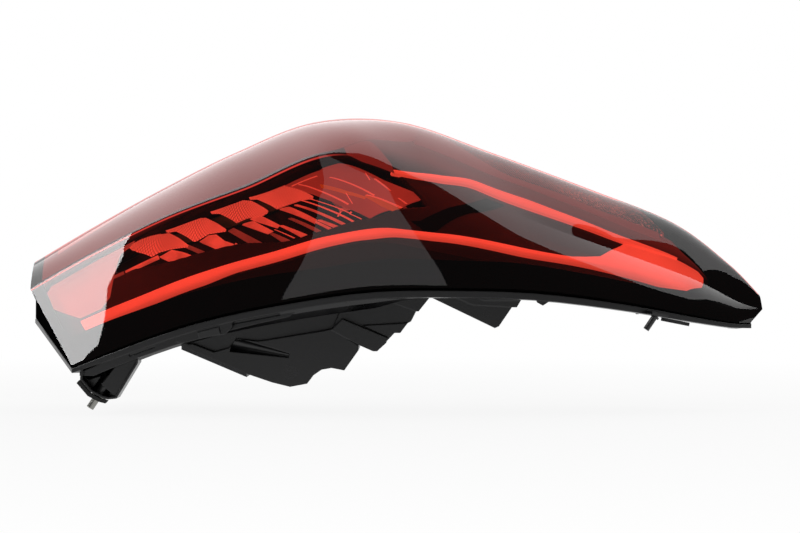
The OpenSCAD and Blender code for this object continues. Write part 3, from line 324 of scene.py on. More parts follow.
def glowMaterial(name, changes):
    # milky plastic whose glow is painted light, with clouds down to "deep": "across" shades it over its
    # width, and "pitch" gives it a pillow pattern of that size in mm, down to "valley"
    s = {**glowUsual, **changes}
    mat, tree = newMaterial(name)
    x, y = flatParts(tree)
    place = add(tree, "TexCoord").outputs["Object"]
    cloud = add(tree, "TexNoise", inputs={"Vector": place, "Scale": s["cloud"]})
    shade = add(tree, "ValToRGB", inputs={"Fac": cloud},
                stops=[(0.3, grey(s["deep"])), (0.7, grey(1.0))])
    if "across" in s:
        width = add(tree, "ValToRGB", inputs={"Fac": y}, stops=s["across"])
        shade = add(tree, "Mix", tinted, {"Factor": 1.0, "A": shade, "B": width})
    if "pitch" in s:
        # the pillows lie between two crossing sets of waves
        waves = []
        for operation in ("ADD", "SUBTRACT"):
            way = add(tree, "Math", {"operation": operation}, {0: x, 1: y})
            turn = add(tree, "Math", multiply, {0: way, 1: math.pi / s["pitch"]})
            waves.append(add(tree, "Math", sine, {0: turn}))
        both = add(tree, "Math", multiply, {0: waves[0], 1: waves[1]})
        lattice = add(tree, "Math", {"operation": "ABSOLUTE"}, {0: both})
        pillows = add(tree, "ValToRGB", inputs={"Fac": lattice},
                      stops=[(0.0, grey(s["valley"])), (0.8, grey(1.0))])
        shade = add(tree, "Mix", tinted, {"Factor": 1.0, "A": shade, "B": pillows})
    # light is the colour of the painted glow
    base, light = [add(tree, "Mix", tinted, {
        "Factor": 1.0, "A": shade, "B": linear(s[key])}) for key in ("base", "light")]
    body = add(tree, "BsdfPrincipled", inputs={
        "Base Color": base, "Roughness": s["rough"], "Specular IOR Level": s["specular"],
        "Emission Color": light, "Emission Strength": s["strength"]})
    add(tree, "OutputMaterial", inputs={"Surface": body})
    return mat


materials = {
    # polished black moulding: nearly black, with wide soft highlights
    "housing": plasticMaterial("housingPlastic", {
        "dark": "#08080a", "light": "#121214", "rough": 0.2, "grain": 900, "bump": 0.1,
        "spread": 0.2, "round": 0.0008}),
    # fine-grained black moulding: duller, with a soft sheen
    "darkPlastic": plasticMaterial("darkPlastic", {
        "dark": "#101011", "light": "#1a1a1c", "rough": 0.35, "grain": 1200, "bump": 0.1,
        "round": 0.0004}),
    # moulded rubber: matt black without clear highlights
    "rubber": plasticMaterial("softRubber", {
        "dark": "#0c0c0c", "light": "#151515", "rough": 0.6, "grain": 1500, "bump": 0.2,
        "round": 0.0004}),
    # zinc-plated steel: warm grey metal, satin
    "steel": plasticMaterial("zincSteel", {
        "dark": "#8d8d88", "light": "#b5b4ac", "rough": 0.3, "grain": 1800, "bump": 0.1,
        "metal": 1.0, "round": 0.0003}),
    # extruded aluminium: pale grey metal, satin
    "aluminium": plasticMaterial("finAluminium", {
        "dark": "#9a9a9c", "light": "#bdbdbf", "rough": 0.35, "grain": 1500, "bump": 0.1,
        "metal": 1.0}),
    # green solder mask: half gloss, with cloudy depth
    "board": plasticMaterial("boardGreen", {
        "dark": "#0f3a1e", "light": "#1b5a30", "rough": 0.35, "grain": 900, "bump": 0.1}),
    # clouded diode caps: pale yellow and smooth
    "diode": plasticMaterial("diodeBody", {
        "dark": "#c9bd7c", "light": "#efe6a8", "rough": 0.3, "grain": 900, "bump": 0.05}),
    # stamped brass: warm yellow metal
    "brass": plasticMaterial("terminalBrass", {
        "dark": "#a48a45", "light": "#c9ae62", "rough": 0.25, "grain": 1500, "bump": 0.05,
        "metal": 1.0}),
    # metal coating on plastic: bright, a little hazy
    "mirror": plasticMaterial("mirrorCoat", {
        "dark": "#b9b9bb", "light": "#d8d8da", "rough": 0.12, "grain": 900, "bump": 0.04,
        "metal": 1.0}),
    # painted sheet steel: dark grey, satin
    "plate": plasticMaterial("platePaint", {
        "dark": "#2c2c2e", "light": "#3b3b3e", "rough": 0.4, "grain": 900, "bump": 0.1,
        "round": 0.0003}),
}
nodeLooks = {
    "housing": "housing", "lens_seal": "rubber", "stop_board": "board", "stop_leds": "diode",
    "indicator_board": "board", "indicator_leds": "diode", "tail_board": "board",
    "tail_leds": "diode", "heat_sink": "aluminium", "driver_board": "board",
    "driver_parts": "darkPlastic", "driver_screws": "steel", "connector_socket": "darkPlastic",
    "connector_terminals": "brass", "connector_gasket": "rubber", "vent_caps": "darkPlastic",
    "main_stud": "steel", "end_stud": "steel", "tip_pin": "darkPlastic", "end_skirt": "rubber",
    "rest_pad": "rubber", "mount_plate": "plate", "indicator_reflector": "mirror",
}
for nodeName, look in nodeLooks.items():
    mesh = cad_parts[nodeName].data
    mesh.materials.clear()
    mesh.materials.append(materials[look])
print("materials of the carried nodes set")

# the outer lens: a closed clear wall with a leg along its rim, in mm
lensSettings = {
    "steps": 420, "rows": 210, "nearCrowd": 1.6, "farCrowd": 1.35, "wall": 2.8, "edge": 1.0,
    "chamfer": 0.25, "inset": 2.3, "leg": 2.9, "depth": 3.0, "leastHalf": 0.8,
    "wallShare": 0.85, "rowLimit": 0.6, "rimLow": 0.6, "rimEnd": (-0.2, 1), "rimTip": (6, 9.5),
    "tint": "#f37d6d", "ior": 1.49, "rough": 0.015, "waves": 14, "waveHeight": 0.012,
    # the grey band just above the crease is a painted reflection, and the glowing line at the crease a
    # painted highlight
    "creaseEnds": (3.6, 4.2), "paintedReflection": "#6c6266", "paintedReflectionRows": (0.985, 1.05, 0.03), "paintedReflectionShare": 0.75,
    "line": "#ff4a40", "paintedHighlightGlow": 0.8, "paintedHighlightRows": (0.972, 0.99, 0.005), "paintedHighlightShare": 0.9}


def rimPoint(line, t, inset, lift, side):
    # point on the rim, inset from the lens edge and lifted from it; side 1 is the near edge's
    half = (along(farEdge, t)[..., 1] - along(nearEdge, t)[..., 1]) / 2
    reach = np.minimum(inset, half - lensSettings["leastHalf"])
    p = along(line, t).copy()
    p[..., 0] += reach * np.maximum(0, 1 - t) - reach * np.maximum(0, t - last + 1)
    p[..., 1] += side * reach
    p[..., 2] += lift
    return p


def tipFade(t, s=lensSettings):
    # the rim is lower at the inner end and at the tip
    return mix(1, s["rimLow"], 1 - ease(*s["rimEnd"], t) + ease(*s["rimTip"], t))


def rimRing(inset, lift, ts, ws):
    # once round the rim: near edge, tip, far edge, inner end
    lifted = lift * tipFade(ts)
    near = rimPoint(nearEdge, ts, inset, lifted, 1)
    far = rimPoint(farEdge, ts, inset, lifted, -1)
    tip = mix(near[-1], far[-1], ws[:, None])
    end = mix(near[0], far[0], ws[:, None])
    return np.concatenate([near[:-1], tip[:-1], far[:0:-1], end[:0:-1]])


def lensPiece(s):
    # the skin above, the same surface one wall below between the legs, and the rim in between
    ts = np.linspace(0, last, s["steps"])
    # rows crowd towards the crease, where the surface bends
    vs = np.concatenate([1 - np.linspace(1, 0, s["rows"] // 3)[:-1] ** s["nearCrowd"],
                         1 + 2 * np.linspace(0, 1, s["rows"] * 2 // 3) ** s["farCrowd"]])
    t, v = np.meshgrid(ts, vs, indexing="ij")
    upper = skin(t, v)
    room = s["inset"] + s["leg"] - s["wallShare"] * s["wall"]
    nearRun = (along(creaseLine, ts) - along(nearEdge, ts))[:, 1]
    farRun = (along(farEdge, ts) - along(crestLine, ts))[:, 1]
    low = np.minimum(s["rowLimit"], room / nearRun)[:, None]
    high = farRow - np.minimum(s["rowLimit"], room / farRun)[:, None]
    lower = under(t, low + (high - low) * v / farRow, s["wall"])
    lower[..., 0] += s["wall"] * (np.maximum(0, 1 - t) - np.maximum(0, t - last + 1))
    foot = -s["edge"] - s["depth"]
    profile = [(0, -s["edge"] / 2), (s["chamfer"], -s["edge"]), (s["inset"], -s["edge"]),
               (s["inset"], foot), (s["inset"] + s["leg"], foot)]
    rings = [rimRing(inset, lift, ts, vs / farRow) for inset, lift in profile]
    obj = shell("lensShell", upper, lower, np.stack([t, v], -1), 50, rings)
    # the outside comes first, then the inside, then the leg
    outside = (s["steps"] - 1) * (len(vs) - 1)
    index = np.full(len(obj.data.polygons), 2)
    index[:outside * 2] = 1
    index[:outside] = 0
    return obj, index


def lensMaterial(s):
    # moulded clear red acrylic: tinted see-through below, a mirror by angle above, and where the
    # crease is sharp a grey band of painted reflection with a thin glowing line of painted highlight
    mat, tree = newMaterial("lensOutside")
    x, y = flatParts(tree)
    body = add(tree, "BsdfTransparent", inputs={"Color": linear(s["tint"])})
    paintedReflection = add(tree, "BsdfDiffuse", inputs={"Color": linear(s["paintedReflection"])})
    line = add(tree, "Emission", inputs={"Color": linear(s["line"]), "Strength": s["paintedHighlightGlow"]})
    sharp = add(tree, "MapRange", inputs={
        "Value": x, "From Min": s["creaseEnds"][0], "From Max": s["creaseEnds"][1],
        "To Min": 1.0, "To Max": 0.0})
    for layer, rows, share in ((paintedReflection, s["paintedReflectionRows"], s["paintedReflectionShare"]),
                               (line, s["paintedHighlightRows"], s["paintedHighlightShare"])):
        shown = add(tree, "Math", multiply, {0: band(tree, y, *rows), 1: sharp})
        factor = add(tree, "Math", multiply, {0: shown, 1: share})
        body = add(tree, "MixShader", inputs={0: factor, 1: body, 2: layer})
    place = add(tree, "TexCoord").outputs["Object"]
    waves = add(tree, "TexNoise", inputs={"Vector": place, "Scale": s["waves"], "Detail": 1})
    normal = add(tree, "Bump", inputs={
        "Strength": s["waveHeight"], "Distance": 0.001, "Height": waves})
    shine = add(tree, "BsdfGlossy", inputs={
        "Color": grey(1.0), "Roughness": s["rough"], "Normal": normal})
    fresnel = add(tree, "Fresnel", inputs={"IOR": s["ior"]})
    back = add(tree, "NewGeometry").outputs["Backfacing"]
    front = add(tree, "Math", subtract, {0: 1.0, 1: back})
    factor = add(tree, "Math", multiply, {0: fresnel, 1: front})
    both = add(tree, "MixShader", inputs={0: factor, 1: body, 2: shine})
    add(tree, "OutputMaterial", inputs={"Surface": both})
    return mat


def insideMaterial():
    # the inner faces let light through unchanged, so the tint counts once
    mat, tree = newMaterial("lensInside")
    clear = add(tree, "BsdfTransparent", inputs={"Color": grey(1.0)})
    add(tree, "OutputMaterial", inputs={"Surface": clear})
    return mat


lensObj, lensIndex = lensPiece(lensSettings)
lensObj.data.materials.append(lensMaterial(lensSettings))
lensObj.data.materials.append(insideMaterial())
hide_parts("outer_lens")
print("lens made")

# the black border printed on the inside of the lens, and the rim's leg in the same black
borderSettings = {"depth": 0.35, "wall": 0.5, "span": (0.12, 7.95), "rows": (0.03, 2.97),
                  "lowRim": 0.005, "endRim": 0.01, "tipRim": 9.99, "dark": "#050505",
                  "light": "#090808", "rough": 0.5, "grain": 800, "bump": 0.05, "specular": 0.0}
borderTop = [(0, 0.31), (0.62, 0.294), (1.41, 0.263), (2.81, 0.235), (3.75, 0.189), (5.06, 0.238),
             (6.04, 0.344), (6.59, 0.369), (7.18, 0.4), (7.81, 0.533), (8.25, 0.7)]
leftStrip = [(0, 0.5), (0.16, 0.44), (0.449, 0.2), (0.965, 0.26), (1.4, 0.25), (2, 0.25), (3, 0.3)]
tipZone = [(0, 7.6), (0.614, 7.96), (0.867, 8.21), (1.025, 8.33), (1.101, 8.33), (1.2, 8.21),
           (1.32, 7.95), (1.484, 7.77), (1.97, 7.42), (2.2, 7.1), (3, 6.9)]


def borderPiece(name, t, v, s):
    # thin sheet just under the outside of the lens
    upper = under(t, v, s["depth"])
    lower = under(t, v, s["depth"] + s["wall"])
    return shell(name, upper, lower, np.stack([t, v], -1), sharpAngle=40)


def borders(s):
    # along the lower edge, over the tip and at the inner end
    t, f = grid(300, 24, s["span"])
    low = borderPiece("borderLow", t, mix(s["lowRim"], curve(borderTop, t), f), s)
    v, f = grid(200, 60, s["rows"])
    tip = borderPiece("borderTip", mix(curve(tipZone, v), s["tipRim"], f), v, s)
    end = borderPiece("borderEnd", mix(s["endRim"], curve(leftStrip, v), f), v, s)
    return low, tip, end


borderPieces = borders(borderSettings)
borderMaterial = plasticMaterial("borderBlack", borderSettings)
lensObj.data.materials.append(borderMaterial)
lensObj.data.polygons.foreach_set("material_index", lensIndex)
for piece in borderPieces:
    piece.data.materials.append(borderMaterial)
print("border made")

# sheets in the wall of the lens whose smoky glow is painted light: one above the crease, a paler one
# over the upper strip, and two that close its gaps at the bend and over the blade
paintedGlowSettings = {"depth": 0.95, "wall": 0.3, "base": "#7a6c6d", "light": "#ff8a85",
                "strength": 0.12, "deep": 0.85, "cloud": 12, "specular": 0.0}
upperGlowLow = [(0.3, 1.05), (3.9, 1.05), (4.5, 1.32), (5, 1.5), (5.3, 1.95), (8, 1.95)]
upperGlowHigh = [(0, 2.97), (10, 2.97)]
hookLow = [(4.12, 1.0), (4.3, 0.94), (4.6, 0.92)]
hookHigh = [(4.12, 1.14), (4.45, 1.28), (4.6, 1.03)]
midLow = [(5, 1.46), (5.7, 1.445), (6.11, 1.45), (6.52, 1.415), (7.2, 1.365), (7.7, 1.355)]
midHigh = [(5, 1.9), (5.32, 1.9), (5.75, 1.64), (6.06, 1.535), (6.5, 1.524), (7.03, 1.474),
           (7.7, 1.475)]
zoneLow = [(0.3, 1.55), (1.05, 1.66), (1.24, 1.69), (1.75, 1.93), (2.45, 1.97)]
zoneHigh = [(0, 2.5), (10, 2.5)]
paintedGlowSheets = {
    "upperGlowSheet": ((0.02, 7.9), upperGlowLow, upperGlowHigh, {}),
    "paleGlowSheet": ((0.5, 2.45), zoneLow, zoneHigh, {
        "depth": 0.9, "wall": 0.04, "base": "#a09090", "strength": 0.26}),
    "hookGlowSheet": ((4.12, 4.6), hookLow, hookHigh, {"depth": 1.35, "strength": 0.13}),
    "midGlowSheet": ((5.0, 7.68), midLow, midHigh, {"depth": 1.35, "strength": 0.1}),
}


def paintedGlowPiece(name, span, lowCurve, highCurve, s):
    # thin sheet between two lines of rows
    t, f = grid(220, 60, span)
    v = mix(curve(lowCurve, t), curve(highCurve, t), f)
    upper = under(t, v, s["depth"])
    lower = under(t, v, s["depth"] + s["wall"])
    piece = shell(name, upper, lower, np.stack([t, f], -1), sharpAngle=40)
    piece.data.materials.append(glowMaterial(name + "Glow", s))


for name, (span, lowCurve, highCurve, changes) in paintedGlowSheets.items():
    paintedGlowPiece(name, span, lowCurve, highCurve, {**paintedGlowSettings, **changes})
print("films made")

# light bar with its patch, and the blade above it
barSettings = {"steps": 700, "rows": 26, "span": (0.45, 8.385), "top": 8.0, "rise": 3.5,
               "bottom": 15.0, "base": "#f3ccbc", "light": "#ff9482", "strength": 0.85,
               "across": [(0.0, grey(0.72)), (0.08, grey(0.9)), (0.5, grey(1.0)),
                          (0.92, grey(0.95)), (1.0, grey(0.78))]}
bladeSettings = {"steps": 300, "rows": 8, "span": (4.65, 7.96), "top": 8.4, "rise": 2,
                 "bottom": 13.0}
barLow = [(0.45, 0.355), (0.79, 0.34), (1.38, 0.342), (2.08, 0.347), (2.62, 0.378), (3.46, 0.38),
          (4.09, 0.378), (4.52, 0.413), (5.13, 0.475), (5.85, 0.563), (6.5, 0.681), (7.22, 0.774),
          (8.02, 0.861), (8.25, 0.97), (8.36, 1.09), (8.39, 1.2)]
barHigh = [(0.45, 0.498), (0.88, 0.482), (1.46, 0.461), (2.14, 0.46), (2.66, 0.462), (3.5, 0.455),
           (3.98, 0.443), (4.47, 0.466), (4.94, 0.519), (5.87, 0.674), (6.48, 0.8),
           (6.52, 0.821), (7.18, 1.224), (7.25, 1.275), (7.59, 1.303), (7.97, 1.328),
           (8.3, 1.31), (8.37, 1.25), (8.39, 1.205)]
bladeLow = [(4.65, 1.06), (5.19, 1.194), (5.65, 1.326), (6.27, 1.304), (6.7, 1.282), (7.21, 1.27),
            (7.98, 1.3)]
bladeHigh = [(4.65, 1.085), (5.22, 1.269), (5.7, 1.416), (6.11, 1.423), (6.52, 1.388),
             (7.2, 1.341), (7.98, 1.328)]


def ribbon(name, lowCurve, highCurve, s):
    # strip between two lines, with a rounded section that rises to its top from its sides
    t, f = grid(s["steps"], s["rows"], s["span"])
    v = mix(curve(lowCurve, t), curve(highCurve, t), f)
    upper = under(t, v, s["top"] + s["rise"] * (1 - crown(f, power=6)))
    lower = under(t, v, s["bottom"])
    return shell(name, upper, lower, np.stack([t, f], -1), sharpAngle=60)


# the light bar, its blade and the drops glow with painted light
barGlow = glowMaterial("barGlow", barSettings)
bar = ribbon("lightBar", barLow, barHigh, barSettings)
blade = ribbon("lightBlade", bladeLow, bladeHigh, bladeSettings)
for piece in (bar, blade):
    piece.data.materials.append(barGlow)
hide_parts("tail_light_guide")
print("light bar made")

# the dark bezel between the lit parts, with a pit behind the stop cells
bezelSettings = {
    "steps": 520, "rows": 260, "span": (0.12, 9.5), "across": (0.06, 2.93), "depth": 12.0,
    "wall": 2.0, "tipShare": 0.6, "tipSpan": (8, 9.3), "pit": 9.0, "pitStart": (1.0, 1.08),
    "pitEnd": (4.75, 4.82), "pitSoft": 0.03, "pitTop": (1.2, 1.23), "pitTilt": 0.02,
    "pitSlant": 0.75, "slantTop": 1.3,
    "dark": "#2b2627", "light": "#383132", "cloud": 8, "edgeRow": 0.36, "edgeShade": 0.2,
    # the paler band above the crease and its faint glow are painted light
    "high": "#61595b", "paintedLightRows": (1.25, 3.2, 0.25), "paintedLightGlow": 0.1, "glow": "#ff8a85",
    "black": "#0a0909", "hatch": 0.9, "hatchTurn": (330.0, 60.0), "hatchRows": (1.13, 1.27, 0.02),
    "hatchSpan": (0.9, 4.1, 0.4), "rough": 0.45, "specular": 0.2, "grain": 700, "bump": 0.3,
    "grainDepth": 0.0003}
# the pit's darker copy of the bezel's colours is painted shade
pitShadeSettings = {**bezelSettings, "dark": "#0a0909", "light": "#1b1617", "high": "#241d1e"}
pitLow = [(1.2, 0.8), (1.8, 0.68), (2.7, 0.62), (3.4, 0.5), (4.2, 0.53), (4.7, 0.7), (5.2, 0.9)]


def bezelPiece(s):
    # surface at a depth below the skin, less deep at the tip and deeper in the pit
    t, v = grid(s["steps"], s["rows"], s["span"], s["across"])
    deep = s["depth"] * mix(1, s["tipShare"], ease(*s["tipSpan"], t))
    # the pit slants as the cells do
    slanted = t + s["pitSlant"] * (np.minimum(v, s["slantTop"]) - 1)
    inside = (ease(*s["pitStart"], slanted) * (1 - ease(*s["pitEnd"], slanted))
              * ease(0.0, s["pitSoft"], v - curve(pitLow, t))
              * (1 - ease(*s["pitTop"], v + s["pitTilt"] * (t - 2))))
    depth = deep + s["pit"] * inside
    upper = under(t, v, depth)
    lower = under(t, v, depth + s["wall"])
    obj = shell("bezelShell", upper, lower, np.stack([t, v], -1), sharpAngle=50)
    # faces in the pit take the second material, a darker copy of the bezel's: painted shade
    deepFace = (inside[:-1, :-1] > 0.5).ravel().astype(int)
    index = np.zeros(len(obj.data.polygons), int)
    index[:len(deepFace)] = deepFace
    return obj, index


def bezelMaterial(name, s):
    # moulded dark plastic: cloudy and matt, darkest along the lower edge, with painted light above the
    # crease where it is paler and glows faintly, and fine slanting lines under the crease
    mat, tree = newMaterial(name)
    x, y = flatParts(tree)
    place = add(tree, "TexCoord").outputs["Object"]
    cloud = add(tree, "TexNoise", inputs={"Vector": place, "Scale": s["cloud"]})
    color = add(tree, "ValToRGB", inputs={"Fac": cloud},
                stops=[(0.35, linear(s["dark"])), (0.65, linear(s["light"]))])
    below = add(tree, "Math", {"operation": "LESS_THAN"}, {0: y, 1: s["edgeRow"]})
    edge = add(tree, "ValToRGB", inputs={"Fac": below},
               stops=[(0.0, grey(1.0)), (1.0, grey(s["edgeShade"]))])
    color = add(tree, "Mix", tinted, {"Factor": 1.0, "A": color, "B": edge})
    above = band(tree, y, *s["paintedLightRows"])
    color = add(tree, "Mix", blended, {"Factor": above, "A": color, "B": linear(s["high"])})
    turnX, turnY = s["hatchTurn"]
    way = add(tree, "Math", multiply, {0: x, 1: turnX})
    slant = add(tree, "Math", multiplyAdd, {0: y, 1: turnY, 2: way})
    wave = add(tree, "Math", sine, {0: slant})
    lines = add(tree, "Math", multiplyAdd, {0: wave, 1: 0.5, 2: 0.5})
    shown = add(tree, "Math", multiply, {
        0: band(tree, y, *s["hatchRows"]), 1: band(tree, x, *s["hatchSpan"])})
    hatch = add(tree, "Math", multiply, {0: lines, 1: shown})
    hatch = add(tree, "Math", multiply, {0: hatch, 1: s["hatch"]})
    color = add(tree, "Mix", blended, {"Factor": hatch, "A": color, "B": linear(s["black"])})
    grain = add(tree, "TexNoise", inputs={"Vector": place, "Scale": s["grain"]})
    normal = add(tree, "Bump", inputs={
        "Strength": s["bump"], "Distance": s["grainDepth"], "Height": grain})
    glow = add(tree, "Math", multiply, {0: above, 1: s["paintedLightGlow"]})
    body = add(tree, "BsdfPrincipled", inputs={
        "Base Color": color, "Roughness": s["rough"], "Specular IOR Level": s["specular"],
        "Normal": normal, "Emission Color": linear(s["glow"]), "Emission Strength": glow})
    add(tree, "OutputMaterial", inputs={"Surface": body})
    return mat


bezel, bezelIndex = bezelPiece(bezelSettings)
bezel.data.materials.append(bezelMaterial("bezelSmoke", bezelSettings))
bezel.data.materials.append(bezelMaterial("pitPaintedShade", pitShadeSettings))
bezel.data.polygons.foreach_set("material_index", bezelIndex)
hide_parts("inner_bezel")
print("bezel made")

# leaves in the pit: each is two side lines of (station, row) points and a depth in mm
topLeaves = [
    ([(1.34, 1.38), (1.6, 1.273), (1.82, 1.152), (2.098, 0.79)],
     [(1.36, 1.35), (1.477, 0.98), (1.622, 0.831), (1.722, 0.842), (1.886, 0.82), (2.08, 0.775)], 14),
    ([(1.895, 1.15), (2.358, 1.083), (2.612, 0.81)],
     [(1.91, 1.13), (2.177, 0.805), (2.215, 0.8), (2.388, 0.825), (2.6, 0.795)], 14),
    ([(2.498, 1.134), (2.912, 1.117), (3.135, 0.84)],
     [(2.51, 1.11), (2.756, 0.837), (2.892, 0.846), (3.056, 0.819), (3.12, 0.825)], 14),
    ([(2.984, 1.11), (3.391, 0.994), (3.635, 0.798)],
     [(2.99, 1.08), (3.228, 0.822), (3.301, 0.82), (3.5, 0.806), (3.62, 0.783)], 14)]
bodyLeaves = [
    ([(1.704, 0.811), (1.876, 0.829), (2.004, 0.757), (2.316, 0.536)],
     [(1.72, 0.79), (1.852, 0.67), (2.048, 0.525), (2.29, 0.525)], 16),
    ([(2.247, 0.792), (2.375, 0.824), (2.473, 0.807), (2.545, 0.722), (2.637, 0.667)],
     [(2.26, 0.78), (2.443, 0.646), (2.485, 0.666), (2.62, 0.65)], 15.5),
    ([(2.957, 0.811), (3.118, 0.669)], [(2.808, 0.818), (3.053, 0.663)], 16),
    ([(3.058, 0.824), (3.207, 0.691)], [(2.919, 0.837), (3.168, 0.678)], 15.4),
    ([(3.366, 0.804), (3.604, 0.628)], [(3.248, 0.825), (3.571, 0.603)], 16),
    ([(3.248, 0.678), (3.459, 0.541)], [(3.201, 0.689), (3.383, 0.54)], 16),
    ([(3.462, 0.786), (3.909, 0.535)], [(3.409, 0.802), (3.871, 0.529)], 15.6),
    ([(3.661, 0.611), (3.821, 0.534)], [(3.607, 0.621), (3.763, 0.533)], 16),
    ([(3.448, 0.706), (3.738, 0.535)], [(3.421, 0.708), (3.7, 0.531)], 16),
    ([(1.259, 0.793), (1.707, 0.794)], [(1.252, 0.757), (1.707, 0.755)], 11.7)]
lineLeaves = [
    ([(2.457, 0.647), (2.535, 0.564)], [(2.423, 0.661), (2.515, 0.564)], 16),
    ([(3.147, 0.67), (3.322, 0.547)], [(3.132, 0.675), (3.305, 0.547)], 16),
    ([(3.503, 0.808), (4.019, 0.533)], [(3.482, 0.812), (3.988, 0.53)], 15),
    ([(3.593, 0.793), (3.994, 0.598)], [(3.579, 0.795), (3.983, 0.594)], 15),
    ([(3.987, 0.595), (4.109, 0.546)], [(3.971, 0.596), (4.096, 0.542)], 15),
    ([(3.83, 0.598), (3.876, 0.626)], [(3.847, 0.594), (3.892, 0.624)], 15),
    ([(3.882, 0.892), (4.344, 0.734)], [(3.863, 0.892), (4.322, 0.725)], 12.6),
    ([(4.251, 0.726), (4.648, 0.699)], [(4.224, 0.721), (4.616, 0.678)], 12.6),
    ([(3.442, 0.945), (3.735, 0.941)], [(3.448, 0.936), (3.74, 0.933)], 12.6),
    ([(3.532, 0.926), (4.0, 0.657)], [(3.515, 0.927), (3.981, 0.652)], 12.6),
    ([(4.333, 0.956), (4.351, 0.885)], [(4.319, 0.957), (4.336, 0.88)], 12.6),
    ([(4.438, 0.922), (4.572, 0.839)], [(4.405, 0.913), (4.552, 0.834)], 12.6),
    ([(4.648, 0.785), (4.719, 0.757)], [(4.625, 0.782), (4.7, 0.749)], 12.6),
    ([(4.004, 0.742), (4.045, 0.655)], [(3.993, 0.745), (4.034, 0.656)], 12.6)]
# dimmer copies of the cell bodies, deeper in the pit: painted shade
dimLeaves = [
    ([(2.093, 0.814), (2.441, 0.558)], [(2.04, 0.803), (2.339, 0.567)], 17),
    ([(3.11, 0.659), (3.262, 0.549)], [(3.073, 0.658), (3.167, 0.562)], 17),
    ([(3.351, 0.717), (3.62, 0.537)], [(3.307, 0.723), (3.56, 0.539)], 17),
    ([(3.63, 0.858), (3.976, 0.657)], [(3.586, 0.865), (3.941, 0.646)], 15.6),
    ([(2.7, 0.83), (2.98, 0.6)], [(2.62, 0.82), (2.86, 0.6)], 18.5),
    ([(0.589, 0.815), (1.238, 0.792)], [(0.581, 0.779), (1.231, 0.757)], 11.7)]
panelLeaves = [
    ([(3.382, 0.981), (3.785, 0.986), (4.041, 1.074), (4.534, 0.949), (5.001, 0.945)],
     [(3.548, 0.861), (3.708, 0.768), (3.956, 0.638), (4.205, 0.539), (4.612, 0.681)], 13.2)]
amberLeaves = [
    ([(3.741, 0.862), (4.02, 0.757), (4.224, 0.705)],
     [(3.746, 0.83), (3.991, 0.735), (4.2, 0.685)], 12.8),
    ([(4.215, 0.72), (4.644, 0.692)], [(4.225, 0.7), (4.385, 0.644), (4.505, 0.626), (4.62, 0.68)],
     12.8)]
wedgeLeaves = [
    ([(4.7, 0.58), (4.807, 0.61), (5.015, 0.749), (5.706, 1.27)],
     [(4.84, 0.515), (4.97, 0.555), (5.424, 0.935), (5.901, 1.276)], 11.6)]
# a painted glare at the inner end, a glowing sheet under the lens
glareLeaves = [
    ([(0.25, 1.2), (1.0, 1.2), (1.5, 1.2)], [(0.12, 0.8), (0.45, 0.54), (0.75, 0.53), (0.92, 0.6)],
     11.6)]


def spread(points, count):
    # points at even steps along a broken line
    stationAndRow = [50, 60]  # rough lengths in mm
    p = np.array(points, float)
    steps = np.linalg.norm(np.diff(p, axis=0) * stationAndRow, axis=1)
    run = np.concatenate([[0], np.cumsum(steps)])
    at = np.linspace(0, run[-1], count)
    return np.stack([np.interp(at, run, p[:, k]) for k in (0, 1)], -1)


def leafPiece(name, leaves, s):
    # one object of several closed leaves between two side lines, each with a rounded face and,
    # with "pitch", a pillow relief
    verts, quads, flats = [], [], []
    count = 0
    f = np.linspace(0, 1, s["wide"])
    for first, second, deep in leaves:
        a, b = spread(first, s["long"]), spread(second, s["long"])
        flat = a[:, None] * (1 - f)[:, None] + b[:, None] * f[:, None]
        t, v = flat[..., 0], flat[..., 1]
        mm = lengths(under(t, v, deep))
        pillow = 0
        if "pitch" in s:
            turn = math.pi / s["pitch"]
            pillow = s["pillow"] * np.abs(np.sin((mm[..., 0] + mm[..., 1]) * turn)
                                          * np.sin((mm[..., 0] - mm[..., 1]) * turn))
        upper = under(t, v, deep + s["rise"] * (1 - crown(f, power=4))[None, :] - pillow)
        lower = under(t, v, deep + s["wall"])
        points, faces, uv = shellData(upper, lower, mm)
        verts.append(points)
        quads.append(faces + count)
        flats.append(uv)
        count += len(points)
    return addSurface(name, np.concatenate(verts), np.concatenate(quads), np.concatenate(flats),
                      sharpAngle=40)


